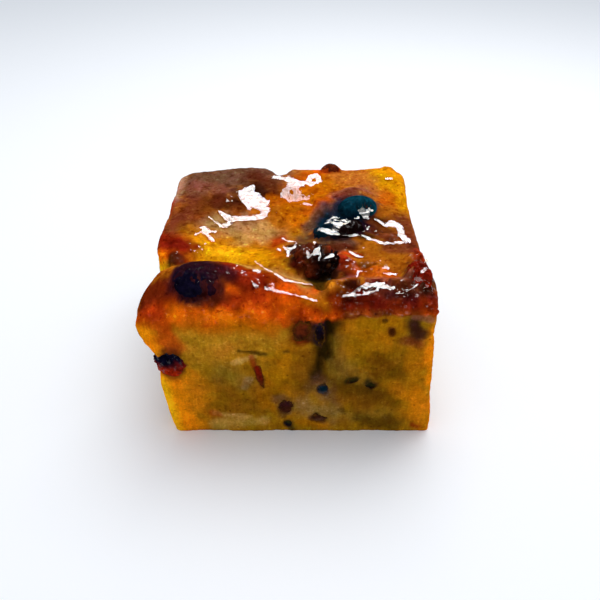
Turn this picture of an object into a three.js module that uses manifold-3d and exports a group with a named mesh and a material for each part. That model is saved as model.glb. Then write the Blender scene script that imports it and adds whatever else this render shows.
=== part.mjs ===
// A knife-cut square of bread pudding: baked bread and custard under a browned, uneven crust,
// with raisins in it and on it. Millimetres, +Z up, the front cut face towards -Y.
// The origin is the middle of the base.

import * as THREE from "three";
import { mergeVertices } from "three/addons/utils/BufferGeometryUtils.js";
import Module from "manifold-3d";

const wasm = await Module();
wasm.setup();

// ---- Driving dimensions ----

const WIDTH = 66; // across the front cut
const DEPTH = 63.5; // front cut to back cut
const HEIGHT = 42; // base to the general level of the crust
const LEAN = 3.9; // the knife leaned, so the top lies this far to the left of the base
const CORNER = 1.3; // plan radius of the four cut corners
const SHOULDER = { back: 1.4, front: 3.0, crown: 6.8 }; // radius of the crust's edge
const GAP = 0.3; // clear space between a raisin and the crumb round it
const CELLS = { across: 37, deep: 32, high: 10 }; // grid of the block's skin
const SPARE = 1; // the block is made this much too deep, and its base is cut flat
const CROWDING = 0.45; // share by which that grid crowds towards the block's edges

// ---- Crust relief: swellings and hollows along short lines, seen from above ----
// half is the distance from the line at which the rise has fallen to 1/e.

const RELIEF = [
  { from: [-24, 24], to: [-16, 22], half: 11, rise: 1.1 }, // flat slice at the back left
  { from: [-2, 26], to: [18, 25], half: 9, rise: 1.5 }, // swelling along the back
  { from: [-14, -4], to: [-4, -1], half: 8.5, rise: -2.8 }, // sunken custard basin
  { from: [-38, -16.5], to: [-20, -14], half: 3.8, rise: -3.2 }, // groove, left half
  { from: [-19, -14], to: [5, -21], half: 2.6, rise: -1.5 }, // groove, right half
  { from: [-25, -22], to: [-7, -25], half: 6.4, rise: 3.0 }, // crown of the front left slice
  { from: [-21, -23], to: [-19, -22], half: 5.2, rise: 1.5 }, // crown over its raisin
  { from: [9, -26.5], to: [28, -26], half: 3.0, rise: 2.0 }, // front right ridge
  { from: [10, -20.5], to: [24, -20], half: 2.6, rise: -0.9 }, // trough behind the ridge
  { from: [29, -20], to: [29.5, -14], half: 2.6, rise: 1.6 }, // lumps on the right edge
  { from: [11, -15.5], to: [13, -16.5], half: 2.2, rise: 1.6 }, // lump beside the burnt raisin
  { from: [19, -17.5], to: [20, -18], half: 1.8, rise: 1.0 }, // a smaller one further right
  { from: [-29, -13], to: [-28, -13.5], half: 2.2, rise: 1.6 }, // knob at the left groove
  { from: [8, 11], to: [17, 15], half: 4.0, rise: 1.7 }, // skin drawn up behind the raisins
  { from: [17, 15], to: [26, 7], half: 3.6, rise: 1.2 }, // the same, down the right side
  { from: [24, 27], to: [29, 28], half: 6.0, rise: 1.8 }, // swelling at the back right
  { from: [10.5, 31], to: [12.5, 31], half: 1.7, rise: 0.8 }, // crumb standing on the back edge
  { from: [27, 31], to: [28, 31], half: 1.5, rise: 1.0 }, // a smaller one
  { from: [-20, 31], to: [-9, 31], half: 4.5, rise: 1.1 }, // edge of the flat slice
  { from: [-36, 33], to: [-35, 31], half: 3.0, rise: -1.2 }, // its rounded corner
  { from: [32, 33], to: [32, 31], half: 3.0, rise: -1.6 }, // rounded corner at the back right
  { from: [-5, 32.5], to: [-4, 30], half: 1.9, rise: -2.4 }, // step at the back edge
];

// ---- Relief of the cut faces: how far each swells out (or sinks in) round a place on it ----
// face is the face's side, at is [along the face, height], half the spread both ways.

const FACE_RELIEF = [
  { face: "left", at: [-27.5, 35], half: [7.5, 5.5], out: 1.6 }, // front slice standing proud
  { face: "left", at: [-28, 24], half: [7, 5], out: -1.8 }, // hollow that holds a raisin
  { face: "left", at: [-16.2, 43], half: [4.8, 9], out: -4.4 }, // end of the crust's groove
  { face: "left", at: [12, 20], half: [10, 9], out: -0.6 },
  { face: "left", at: [10, 43], half: [24, 8], out: -0.9 }, // crust drawn in along this side
  { face: "right", at: [-24, 40], half: [9, 4.5], out: 1.3 }, // crust lip over the cut
  { face: "right", at: [26, 38], half: [10, 9], out: 1.1 }, // swelling at the back right
  { face: "right", at: [-10, 14], half: [12, 8], out: -0.5 },
  { face: "right", at: [14, 26], half: [10, 9], out: 0.5 },
  { face: "front", at: [-16, 39], half: [15, 3.0], out: 0.5 }, // crust lip over the cut
  { face: "front", at: [-18, 14], half: [9, 8], out: -0.4 },
  { face: "front", at: [18, 24], half: [9, 12], out: 0.4 },
  { face: "back", at: [-12, 24], half: [12, 12], out: -0.6 },
  { face: "back", at: [16, 18], half: [10, 10], out: 0.5 },
];

// ---- Openings in the crumb: seams between slices and air holes, as ellipsoids cut away ----

const CUTS = [
  { at: [8.0, -32.3, 32], half: [1.1, 2.0, 7.5], turn: [0, -6, 0] }, // seam, upper stretch
  { at: [6.6, -32.3, 23], half: [1.3, 1.7, 6.5], turn: [0, -8, 0] }, // seam, lower stretch
  { at: [6.6, -25.0, 44.0], half: [2.2, 2.6, 4.6], turn: [20, 0, 0] }, // crevice in the crust
  { at: [-10.4, -32.2, 28.0], half: [2.6, 1.3, 0.45], turn: [0, -8, 0] }, // flat crack
  { at: [22.2, -32.1, 34.0], half: [0.8, 1.4, 1.0], turn: [0, 0, 0] }, // air hole
  { at: [20.1, -32.1, 37.0], half: [0.6, 1.0, 0.6], turn: [0, 0, 0] }, // smaller air hole
  { at: [-9, 32.2, 27], half: [1.2, 1.8, 7.0], turn: [0, 9, 0] }, // seam in the back
  { at: [33.4, 8, 25], half: [1.8, 1.1, 7.0], turn: [6, 0, 0] }, // seam in the right side
];

// ---- Raisins and a strip of peel: wrinkled balls sunk into the crumb ----
// cut marks the ones the knife went through: they end level with the cut face.

const RAISINS = [
  { name: "raisin_round", at: [17.4, 8.6, 41.8], half: [5.8, 4.8, 4.2], turn: [0, 8, 10] },
  { name: "raisin_broad", at: [11.4, -1.5, 41.0], half: [7.0, 4.4, 3.6], turn: [0, -6, 12] },
  { name: "raisin_burnt", at: [5.8, -15.2, 41.2], half: [5.2, 5.0, 4.2], turn: [0, 10, -20] },
  { name: "raisin_crown", at: [-21.4, -25.6, 43.6], half: [5.8, 5.0, 3.4], turn: [16, 0, -12] },
  { name: "raisin_corner", at: [28.6, -22.6, 42.4], half: [3.0, 4.6, 3.0], turn: [0, 12, 0] },
  { name: "raisin_back_edge", at: [10.3, 29.8, 43.7], half: [2.6, 2.0, 2.0], turn: [0, 0, 5] },
  { name: "raisin_left", at: [-28.9, -29.9, 23.9], half: [4.0, 3.0, 4.6], turn: [0, -26, 0] },
  { name: "raisin_cut_high", cut: true, at: [1.9, -31.0, 34.2], half: [2.3, 2.6, 3.4], turn: [0, 12, 0] },
  { name: "raisin_seam", cut: true, at: [5.9, -30.6, 33.6], half: [1.3, 1.6, 3.9], turn: [0, -4, 0] },
  { name: "raisin_cut_right", cut: true, at: [18.3, -31.2, 17.4], half: [1.9, 1.6, 1.7], turn: [0, 20, 0] },
  { name: "raisin_cut_mid", cut: true, at: [14.1, -31.2, 18.6], half: [1.7, 1.6, 0.9], turn: [0, -24, 0] },
  { name: "raisin_cut_blue", cut: true, at: [7.0, -31.0, 15.4], half: [1.7, 1.7, 2.0], turn: [0, 0, 0] },
  { name: "raisin_cut_low", cut: true, at: [-2.1, -31.0, 9.0], half: [2.1, 2.2, 3.1], turn: [0, 10, 0] },
  { name: "raisin_base", cut: true, at: [-1.4, -31.1, 2.9], half: [1.5, 1.7, 1.9], turn: [0, 0, 0] },
  { name: "raisin_base_right", cut: true, at: [6.2, -31.1, 5.0], half: [2.3, 1.8, 1.2], turn: [0, 8, 0] },
  { name: "peel_strip", cut: true, at: [-8.3, -31.0, 20.6], half: [0.95, 1.4, 5.3], turn: [0, -9, 0] },
  { name: "raisin_left_back", cut: true, at: [-31.6, 15.0, 17.0], half: [2.8, 4.4, 3.2], turn: [0, -10, 0] },
  { name: "raisin_right_front", cut: true, at: [31.6, -12.0, 20.0], half: [2.6, 3.6, 2.8], turn: [0, 0, 0] },
  { name: "raisin_right_back", cut: true, at: [33.0, 17.0, 11.0], half: [2.6, 4.6, 2.7], turn: [14, 0, 0] },
  { name: "raisin_back_low", cut: true, at: [14.0, 31.8, 14.0], half: [4.6, 2.4, 3.2], turn: [0, 18, 0] },
  { name: "raisin_back_high", cut: true, at: [-17.0, 30.8, 30.0], half: [3.4, 2.6, 2.8], turn: [0, 0, 0] },
];

const PEEL_NAME = "peel_strip";
const WRINKLE = 0.1; // depth of a raisin's wrinkles, as a share of its size
const SMALL_RAISIN = 3.1; // mean half-size under which a raisin gets the coarser ball

const crumb = new THREE.MeshStandardMaterial({ color: "#a8741c", roughness: 0.8, metalness: 0 });
const raisinSkin = new THREE.MeshStandardMaterial({ color: "#2a1418", roughness: 0.3, metalness: 0 });
const peelSkin = new THREE.MeshStandardMaterial({ color: "#8a3410", roughness: 0.5, metalness: 0 });

// ---- Noise and falloffs ----

const smooth = THREE.MathUtils.smoothstep;

/** A fixed random number from 0 to 1 for a corner of the unit lattice. */
function cornerValue(i, j, k) {
  const s = Math.sin(i * 127.1 + j * 311.7 + k * 74.7) * 43758.5453;
  return s - Math.floor(s);
}

/** Smooth noise from -1 to 1: the eight corner values round a point, blended. */
function noise(x, y, z) {
  const [i, j, k] = [x, y, z].map(Math.floor);
  const [u, v, w] = [x - i, y - j, z - k].map((t) => t * t * (3 - 2 * t));
  const { lerp } = THREE.MathUtils;
  const edge = (b, c) => lerp(cornerValue(i, j + b, k + c), cornerValue(i + 1, j + b, k + c), u);
  return 2 * lerp(lerp(edge(0, 0), edge(1, 0), v), lerp(edge(0, 1), edge(1, 1), v), w) - 1;
}

/** Distance in plan from a point to the line between two others. */
function distanceToLine(x, y, [ax, ay], [bx, by]) {
  const [dx, dy] = [bx - ax, by - ay];
  const along = ((x - ax) * dx + (y - ay) * dy) / (dx * dx + dy * dy || 1);
  const t = Math.min(1, Math.max(0, along));
  return Math.hypot(x - ax - t * dx, y - ay - t * dy);
}

// ---- The block ----

/** Radius of the crust's edge near a place in plan: largest under the front left crown. */
function shoulderRadius(x, y) {
  const { lerp } = THREE.MathUtils;
  const nearFront = 1 - smooth(y, -26, -12);
  const nearCrown = 1 - smooth(x, -6, 12);
  return lerp(SHOULDER.back, lerp(SHOULDER.front, SHOULDER.crown, nearCrown), nearFront);
}

/** Height of the crust above a place in plan, with its edge rounded over. */
function crustHeight(x, y) {
  let height = HEIGHT;
  for (const { from, to, half, rise } of RELIEF) {
    const d = distanceToLine(x, y, from, to) / half;
    height += rise * Math.exp(-d * d);
  }
  height += 0.6 * noise(x / 7, y / 7, 3) + 0.25 * noise(x / 3.6, y / 3.6, 8);
  const r = shoulderRadius(x, y);
  const inX = Math.min(r, Math.max(0, r - (WIDTH / 2 - Math.abs(x + LEAN / 2))));
  const inY = Math.min(r, Math.max(0, r - (DEPTH / 2 - Math.abs(y))));
  const past = r - ((r - inX) * (r - inY)) / r; // 0 inside the edge band, r on either cut
  return height - (r - Math.sqrt(r * r - past * past));
}

/** How far a point of the skin is carried outwards, in x and y, by the relief of the cut faces. */
function faceShift(x, y, z) {
  const reach = 6; // the relief fades out this far in from the face
  const near = {
    left: 1 - smooth(x, -WIDTH / 2, -WIDTH / 2 + reach),
    right: smooth(x, WIDTH / 2 - reach, WIDTH / 2),
    front: 1 - smooth(y, -DEPTH / 2, -DEPTH / 2 + reach),
    back: smooth(y, DEPTH / 2 - reach, DEPTH / 2),
  };
  const out = { left: 0, right: 0, front: 0, back: 0 };
  for (const { face, at, half, out: swell } of FACE_RELIEF) {
    const along = face === "left" || face === "right" ? y : x;
    const d = Math.hypot((along - at[0]) / half[0], (z - at[1]) / half[1]);
    out[face] += swell * Math.exp(-d * d);
  }
  const rough = 0.22 * noise(x / 5, y / 5, z / 7);
  const dx = near.right * (out.right + rough) - near.left * (out.left + rough);
  const dy = near.back * (out.back + rough) - near.front * (out.front + rough);
  return [dx, dy];
}

/** Rounds a corner of the plan: a point past the corner's centre both ways moves onto an arc. */
function roundCorner(x, y) {
  const dx = Math.abs(x) - (WIDTH / 2 - CORNER);
  const dy = Math.abs(y) - (DEPTH / 2 - CORNER);
  if (dx <= 0 || dy <= 0) return [x, y];
  const shrink = Math.max(dx, dy) / Math.hypot(dx, dy);
  const back = (v, d) => v - Math.sign(v) * d * (1 - shrink);
  return [back(x, dx), back(y, dy)];
}

/** Crowds the even grid of a side, from -1 to 1, towards its ends. */
const crowd = (s) => s + CROWDING * (Math.sin((Math.PI * s) / 2) - s);

/** The whole block: a box whose skin is carried onto the leaning, uneven shape. */
function blockGeometry() {
  const { across, deep, high } = CELLS;
  const box = new THREE.BoxGeometry(2, 2, 2, across, deep, high);
  const skin = box.attributes.position;
  for (let i = 0; i < skin.count; i++) {
    const [x, y] = roundCorner((crowd(skin.getX(i)) * WIDTH) / 2, (crowd(skin.getY(i)) * DEPTH) / 2);
    const share = (1 + crowd(skin.getZ(i))) / 2;
    const z = share * crustHeight(x - LEAN / 2, y) - (1 - share) * SPARE;
    const [dx, dy] = faceShift(x, y, z);
    skin.setXYZ(i, x + dx + LEAN * (0.5 - z / HEIGHT), y + dy, z);
  }
  return box;
}

// ---- Fruit ----

/** A unit ball pressed into lumps and wrinkles. */
function wrinkledBall(seed, detail) {
  const ball = new THREE.IcosahedronGeometry(1, detail);
  const skin = ball.attributes.position;
  const p = new THREE.Vector3();
  for (let i = 0; i < skin.count; i++) {
    p.fromBufferAttribute(skin, i);
    const lump = noise(p.x * 1.3 + seed, p.y * 1.3, p.z * 1.3);
    const fold = Math.abs(noise(p.x * 2.6, p.y * 2.6 + seed, p.z * 2.6));
    p.multiplyScalar(1 + WRINKLE * (lump - fold));
    skin.setXYZ(i, p.x, p.y, p.z);
  }
  return ball;
}

/** The matrix that puts a unit ball at a place, at its half-sizes and turned in degrees. */
function placing({ at, half, turn }, grow = 0) {
  const [rx, ry, rz] = turn.map(THREE.MathUtils.degToRad);
  const size = half.map((h) => h + grow);
  return new THREE.Matrix4().compose(
    new THREE.Vector3(...at),
    new THREE.Quaternion().setFromEuler(new THREE.Euler(rx, ry, rz)),
    new THREE.Vector3(...size),
  );
}

// ---- Solids ----

/** A closed geometry as a solid that can be joined and cut. */
function toSolid(geometry) {
  const bare = geometry.clone();
  for (const name of ["normal", "uv"]) bare.deleteAttribute(name);
  const merged = mergeVertices(bare, 1e-4);
  return new wasm.Manifold(
    new wasm.Mesh({
      numProp: 3,
      vertProperties: merged.attributes.position.array,
      triVerts: new Uint32Array(merged.index.array),
    }),
  );
}

/** A solid as a named mesh. */
function toMesh(name, solid, material) {
  const { vertProperties, triVerts } = solid.getMesh();
  const geometry = new THREE.BufferGeometry();
  geometry.setAttribute("position", new THREE.BufferAttribute(vertProperties, 3));
  geometry.setIndex(new THREE.BufferAttribute(triVerts, 1));
  geometry.computeVertexNormals();
  const mesh = new THREE.Mesh(geometry, material);
  mesh.name = name;
  return mesh;
}

// ---- Assembly ----

const pudding = new THREE.Group();
const belowBase = new THREE.BoxGeometry(2 * WIDTH, 2 * DEPTH, 2 * SPARE).translate(0, 0, -SPARE);
const uncut = toSolid(blockGeometry()).subtract(toSolid(belowBase));
let block = uncut;
for (const cut of CUTS) {
  const hole = new THREE.IcosahedronGeometry(1, 2).applyMatrix4(placing(cut));
  block = block.subtract(toSolid(hole));
}
RAISINS.forEach((raisin, i) => {
  const meanHalf = raisin.half.reduce((sum, h) => sum + h, 0) / 3;
  const ball = wrinkledBall(i * 3.7, meanHalf < SMALL_RAISIN ? 1 : 2);
  const whole = toSolid(ball.clone().applyMatrix4(placing(raisin)));
  const fruit = raisin.cut ? whole.intersect(uncut) : whole;
  block = block.subtract(toSolid(ball.clone().applyMatrix4(placing(raisin, GAP))));
  const material = raisin.name === PEEL_NAME ? peelSkin : raisinSkin;
  pudding.add(toMesh(raisin.name, fruit, material));
});
pudding.add(toMesh("pudding", block, crumb));

export default pudding;
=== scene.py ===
"""The looks of a knife-cut square of bread pudding: skin, fruit, syrup, floor, light and camera.

The shapes are worked out in millimetres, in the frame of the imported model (+Z up, origin in the
middle of the base, front cut face towards -Y), and go into the meshes in metres.
"""

import logging
import math
from dataclasses import dataclass, field
from enum import Enum

import bpy
import numpy as np
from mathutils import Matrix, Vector


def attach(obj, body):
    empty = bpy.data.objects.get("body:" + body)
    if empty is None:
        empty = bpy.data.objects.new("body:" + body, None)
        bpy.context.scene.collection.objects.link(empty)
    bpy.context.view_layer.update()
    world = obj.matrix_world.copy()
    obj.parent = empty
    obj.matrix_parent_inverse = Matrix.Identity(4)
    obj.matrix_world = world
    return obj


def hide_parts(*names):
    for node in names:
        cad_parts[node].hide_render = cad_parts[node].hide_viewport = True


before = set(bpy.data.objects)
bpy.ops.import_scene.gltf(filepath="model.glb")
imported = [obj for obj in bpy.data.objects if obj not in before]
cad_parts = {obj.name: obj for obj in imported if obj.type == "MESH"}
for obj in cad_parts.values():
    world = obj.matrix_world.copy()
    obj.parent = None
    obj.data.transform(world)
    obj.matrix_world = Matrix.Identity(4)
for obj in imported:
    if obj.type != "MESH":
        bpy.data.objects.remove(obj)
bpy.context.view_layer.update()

LOG = logging.getLogger("bread_pudding")
MM = 0.001  # metres in a millimetre
ROOT = "root"  # the one body that everything rides on
FAR = 9.0  # mm, further than any run or drop reaches
EYE_MM = (1.45, -130.07, 120.2)  # where the camera stands
CARD_WAY = (8.0, 33.0)  # the way to the syrup's light: degrees right of straight behind, and up
Array = np.ndarray
Point = tuple[float, float]
Triple = tuple[float, float, float]


# ---- Colour ----


def linear(hex_colour: str) -> Triple:
    """Turns an sRGB hex colour into the linear values that the shaders work in.

    Args:
        hex_colour: six hex digits with a leading "#".

    Returns:
        Red, green and blue, each 0 to 1, linear.
    """
    parts = (int(hex_colour[i : i + 2], 16) / 255 for i in (1, 3, 5))
    red, green, blue = (p / 12.92 if p <= 0.04045 else ((p + 0.055) / 1.055) ** 2.4 for p in parts)
    return red, green, blue


class Tone(Enum):
    """The colours of the bake, from raw custard to burnt fruit sugar."""

    # crust, from custard yellow over orange to red and brown
    LEMON = "#ffb610"
    YOLK = "#fa8c08"
    BUTTER = "#e59406"
    FLAME = "#ff7608"
    TANGERINE = "#e65808"
    ORANGE = "#d25006"
    MARMALADE = "#c16204"
    PERSIMMON = "#b84a08"
    HONEY = "#c87c0e"
    HONEY_GREY = "#a98050"
    HONEY_PALE = "#cc9448"
    APRICOT = "#c87226"
    AMBER = "#ae5e10"
    RUST = "#a63207"
    BRICK = "#8a2008"
    GARNET = "#701608"
    OXBLOOD = "#54200c"
    SIENNA = "#7b3a12"
    MAHOGANY = "#74301c"
    RUSSET = "#94503a"
    TAUPE = "#6c4632"
    COCOA = "#503626"
    FAWN = "#b58260"
    # burnt sugar and fruit
    UMBER = "#38190f"
    CHAR = "#100605"
    PLUM = "#2a0e16"
    INK = "#0c0a1c"
    TEAL = "#031e2c"
    LAGOON = "#083848"
    SLATE = "#34363c"
    # crumb on the cuts
    CRUMB = "#9c6a0c"
    GOLD = "#cc8a1e"
    OCHRE = "#b66e05"
    ORANGE_CRUMB = "#d07c0c"
    OLIVE = "#86661e"
    BROWN = "#80500a"
    EARTH = "#683e05"
    PEAT = "#4c3208"
    DRAB = "#8c6c34"
    CREAM = "#cf9e46"
    # painted shade in the seams' grooves and in the crust's crevice
    SEAM = "#281a04"
    MOSS = "#24240c"


# ---- Fields: noise, falloffs and distances, on whole arrays ----


def corner_value(i: Array, j: Array, k: Array) -> Array:
    """A fixed random number from 0 to 1 for each corner (i, j, k) of the unit lattice."""
    s = np.sin(i * 127.1 + j * 311.7 + k * 74.7) * 43758.5453
    return s - np.floor(s)


def noise(x: Array, y: Array, z: Array | float = 0.0) -> Array:
    """Smooth noise from -1 to 1: the eight lattice corners round each point, blended.

    Args:
        x, y, z: coordinates in lattice cells, arrays or numbers that broadcast together.

    Returns:
        The noise, in the common shape of the coordinates.
    """
    x, y, z = np.broadcast_arrays(x, y, z)
    i, j, k = np.floor(x), np.floor(y), np.floor(z)
    u, v, w = (t * t * (3 - 2 * t) for t in (x - i, y - j, z - k))

    def edge(b: int, c: int) -> Array:
        """Blend of two corners along the first axis."""
        low = corner_value(i, j + b, k + c)
        return low + (corner_value(i + 1, j + b, k + c) - low) * u

    near = edge(0, 0) + (edge(1, 0) - edge(0, 0)) * v
    far = edge(0, 1) + (edge(1, 1) - edge(0, 1)) * v
    return 2 * (near + (far - near) * w) - 1


def smooth(x: Array, low: float, high: float) -> Array:
    """Rises smoothly from 0 at low to 1 at high."""
    t = np.clip((x - low) / (high - low), 0, 1)
    return t * t * (3 - 2 * t)


def distance_to_line(x: Array, y: Array, start: Point, end: Point) -> Array:
    """Distance of each point from the straight line between start and end.

    The nearest place on the line is start + t * (end - start), where t is the point's share
    along it, kept from 0 to 1.

    Args:
        x, y: the points' coordinates in mm.
        start, end: the line's ends in mm.

    Returns:
        Distances in mm.
    """
    dx, dy = end[0] - start[0], end[1] - start[1]
    along = ((x - start[0]) * dx + (y - start[1]) * dy) / (dx * dx + dy * dy or 1)
    t = np.clip(along, 0, 1)
    return np.hypot(x - start[0] - t * dx, y - start[1] - t * dy)


def smooth_max(a: Array, b: Array, blend: float) -> Array:
    """The larger of a and b, with the crease between them filled over a height of blend."""
    h = np.clip(0.5 + 0.5 * (a - b) / blend, 0, 1)
    return b + (a - b) * h + blend * h * (1 - h)


def way_to(direction: Point) -> Array:
    """The unit vector that points the way a light lies.

    Args:
        direction: degrees to the right of straight behind, and degrees up.

    Returns:
        Its x, y and z.
    """
    azimuth, elevation = map(math.radians, direction)
    flat = math.cos(elevation)
    return np.array([flat * math.sin(azimuth), flat * math.cos(azimuth), math.sin(elevation)])


# ---- Shape of the block, the same as the solid's ----


class Face(Enum):
    """A face of the block: the coordinate that runs square to it, and its side of the middle."""

    FRONT = (1, -1)
    BACK = (1, 1)
    LEFT = (0, -1)
    RIGHT = (0, 1)
    TOP = (2, 1)

    @property
    def axis(self) -> int:
        """The coordinate's number: 0 for x, 1 for y, 2 for z."""
        return self.value[0]

    @property
    def sign(self) -> int:
        """1 where the face lies on the coordinate's positive side, -1 on the other."""
        return self.value[1]


@dataclass(frozen=True)
class Swell:
    """A swelling (or hollow) of the crust along a short line, seen from above, in mm."""

    start: Point
    end: Point
    half: float
    rise: float


@dataclass(frozen=True)
class FaceSwell:
    """A swelling of a cut face round a place [along the face, height], in mm."""

    face: Face
    at: Point
    half: Point
    out: float


@dataclass(frozen=True)
class Opening:
    """A seam, crack or air hole: an ellipsoid cut out of the skin, in mm and degrees."""

    face: Face
    at: Triple
    half: Triple
    turn: float = 0.0


SWELLS = (
    Swell((-24, 24), (-16, 22), 11, 1.1),  # flat slice at the back left
    Swell((-2, 26), (18, 25), 9, 1.5),  # swelling along the back
    Swell((-14, -4), (-4, -1), 8.5, -2.8),  # sunken custard basin
    Swell((-38, -16.5), (-20, -14), 3.8, -3.2),  # groove, left half
    Swell((-19, -14), (5, -21), 2.6, -1.5),  # groove, right half
    Swell((-25, -22), (-7, -25), 6.4, 3.0),  # crown of the front left slice
    Swell((-21, -23), (-19, -22), 5.2, 1.5),  # crown over its raisin
    Swell((9, -26.5), (28, -26), 3.0, 2.0),  # front right ridge
    Swell((10, -20.5), (24, -20), 2.6, -0.9),  # trough behind the ridge
    Swell((29, -20), (29.5, -14), 2.6, 1.6),  # lumps on the right edge
    Swell((11, -15.5), (13, -16.5), 2.2, 1.6),  # lump beside the burnt raisin
    Swell((19, -17.5), (20, -18), 1.8, 1.0),  # a smaller one further right
    Swell((-29, -13), (-28, -13.5), 2.2, 1.6),  # knob at the left groove
    Swell((8, 11), (17, 15), 4.0, 1.7),  # skin drawn up behind the raisins
    Swell((17, 15), (26, 7), 3.6, 1.2),  # the same, down the right side
    Swell((24, 27), (29, 28), 6.0, 1.8),  # swelling at the back right
    Swell((10.5, 31), (12.5, 31), 1.7, 0.8),  # crumb standing on the back edge
    Swell((27, 31), (28, 31), 1.5, 1.0),  # a smaller one
    Swell((-20, 31), (-9, 31), 4.5, 1.1),  # edge of the flat slice
    Swell((-36, 33), (-35, 31), 3.0, -1.2),  # its rounded corner
    Swell((32, 33), (32, 31), 3.0, -1.6),  # rounded corner at the back right
    Swell((-5, 32.5), (-4, 30), 1.9, -2.4),  # step at the back edge
)

FACE_SWELLS = (
    FaceSwell(Face.LEFT, (-27.5, 35), (7.5, 5.5), 1.6),  # front slice standing proud
    FaceSwell(Face.LEFT, (-28, 24), (7, 5), -1.8),  # hollow that holds a raisin
    FaceSwell(Face.LEFT, (-16.2, 43), (4.8, 9), -4.4),  # end of the crust's groove
    FaceSwell(Face.LEFT, (12, 20), (10, 9), -0.6),  # shallow hollow
    FaceSwell(Face.LEFT, (10, 43), (24, 8), -0.9),  # crust drawn in along this side
    FaceSwell(Face.RIGHT, (-24, 40), (9, 4.5), 1.3),  # crust lip over the cut
    FaceSwell(Face.RIGHT, (26, 38), (10, 9), 1.1),  # swelling at the back right
    FaceSwell(Face.RIGHT, (-10, 14), (12, 8), -0.5),  # shallow hollow
    FaceSwell(Face.RIGHT, (14, 26), (10, 9), 0.5),  # gentle bulge
    FaceSwell(Face.FRONT, (-16, 39), (15, 3.0), 0.5),  # crust lip over the cut
    FaceSwell(Face.FRONT, (-18, 14), (9, 8), -0.4),  # shallow hollow
    FaceSwell(Face.FRONT, (18, 24), (9, 12), 0.4),  # gentle bulge
    FaceSwell(Face.BACK, (-12, 24), (12, 12), -0.6),  # shallow hollow
    FaceSwell(Face.BACK, (16, 18), (10, 10), 0.5),  # gentle bulge
)

OPENINGS = (
    Opening(Face.FRONT, (8.0, -32.3, 32), (1.1, 2.0, 7.5), -6),  # seam, upper stretch
    Opening(Face.FRONT, (6.6, -32.3, 23), (1.3, 1.7, 6.5), -8),  # seam, lower stretch
    Opening(Face.TOP, (6.6, -25.0, 44.0), (2.2, 2.6, 4.6)),  # crevice in the crust
    Opening(Face.FRONT, (-10.4, -32.2, 28.0), (2.6, 1.3, 0.45), -8),  # flat crack
    Opening(Face.FRONT, (22.2, -32.1, 34.0), (0.8, 1.4, 1.0)),  # air hole
    Opening(Face.FRONT, (20.1, -32.1, 37.0), (0.6, 1.0, 0.6)),  # smaller air hole
    Opening(Face.BACK, (-9, 32.2, 27), (1.2, 1.8, 7.0), 9),  # seam in the back
    Opening(Face.RIGHT, (33.4, 8, 25), (1.8, 1.1, 7.0), 6),  # seam in the right side
)


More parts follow.
